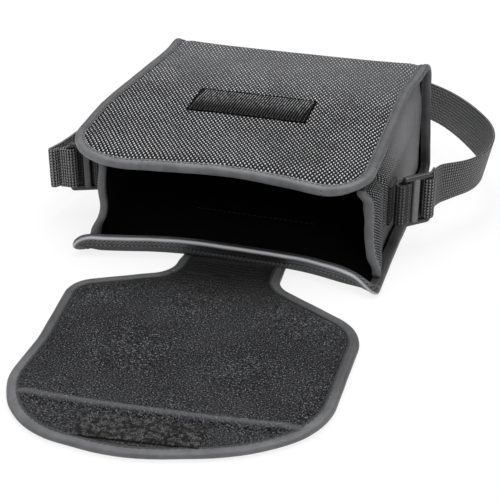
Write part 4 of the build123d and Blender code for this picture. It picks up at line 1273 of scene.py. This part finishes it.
# Strap tabs: short pieces of the same webbing. Each is sewn flat to a gusset with a boxed seam and loops round a
# buckle's inner bar, and its folded end hangs beside the frame.
# Painted shade: the tabs and their patches are painted darker than the strap's own webbing, for the shade beside
# the gusset and behind the buckle.
shaded_tab_cloth = webbing_shade("tab_webbing", 0.003, 0.12)
shaded_patch_cloth = webbing_shade("tab_patch_webbing", 0.001, 0.05)
patch_half, patch_sole = webbing_width / 2, 86.2
patch_start, patch_end = -3.0, 12.0
tab_seams = []
for side, side_name in sides:
    way = bar_ways[side]
    square = np.array([-way[1], way[0]])
    halves = []
    for centre, first in ((inner_bars[side], -90.0), (tab_ends[side], 90.0)):
        for angle in np.radians(np.linspace(first, first + 180.0, 15)):
            halves.append(centre + (way * cos(angle) + square * sin(angle)) * loop_radius)
    tab_loop = ribbon(f"tab_loop_{side_name}_webbing", np.array(halves), shaded_tab_cloth, closed=True)
    link(tab_loop, "strap", (f"tab_loop_{side_name}",))
    behind = square * side
    end_start = inner_bars[side] + way * 0.5 + behind * (loop_radius + 0.6)
    end_bends = ((0, 0), (5.0, 0), (9.0, 0.5), (12.5, 2.0), (17.0, 2.6))
    end_path = soft_line([end_start + way * on + behind * out for on, out in end_bends])
    tab_end = ribbon(
        f"tab_end_{side_name}", end_path, shaded_tab_cloth, lean=-1.6 * side, size=(webbing_width + 1.2, 1.3), middle=28.3,
    )
    link(tab_end, "strap")
    patch_y, patch_z = np.meshgrid(
        np.linspace(patch_start, patch_end, 20), np.linspace(-patch_half, patch_half, 26), indexing="ij",
    )
    from_edge = np.minimum.reduce([patch_y - patch_start, patch_end - patch_y, patch_half - np.abs(patch_z)])
    crown = tab_face - 0.9 * (1 - smooth(from_edge, 0.0, 1.2)) - 0.35 * bell(from_edge, 2.6, 0.9)
    outer_face, inner_face = (
        np.stack([side * out, tab_y + patch_y, strap_z + patch_z], -1)
        for out in (crown, np.full(crown.shape, patch_sole))
    )
    patch_uv = np.stack([patch_z, patch_y], -1)
    patch = closed_cloth(f"tab_patch_{side_name}_webbing", outer_face, inner_face, patch_uv, shaded_patch_cloth)
    link(patch, "case", (f"tab_patch_{side_name}",))
    box = np.array([(-1.0, -10.0), (9.6, -10.0), (9.6, 10.0), (-1.0, 10.0), (-1.0, -10.0), (9.6, 10.0)])
    box_run = along(box, np.linspace(0, lengths(box)[-1], 90))
    seam_x = np.full(90, side * (tab_face - 0.15))
    tab_seams.append(np.stack([seam_x, tab_y + box_run[:, 0], strap_z + box_run[:, 1]], 1))
link(beads(tab_seams, "tab_stitches", Seed=6), "case")
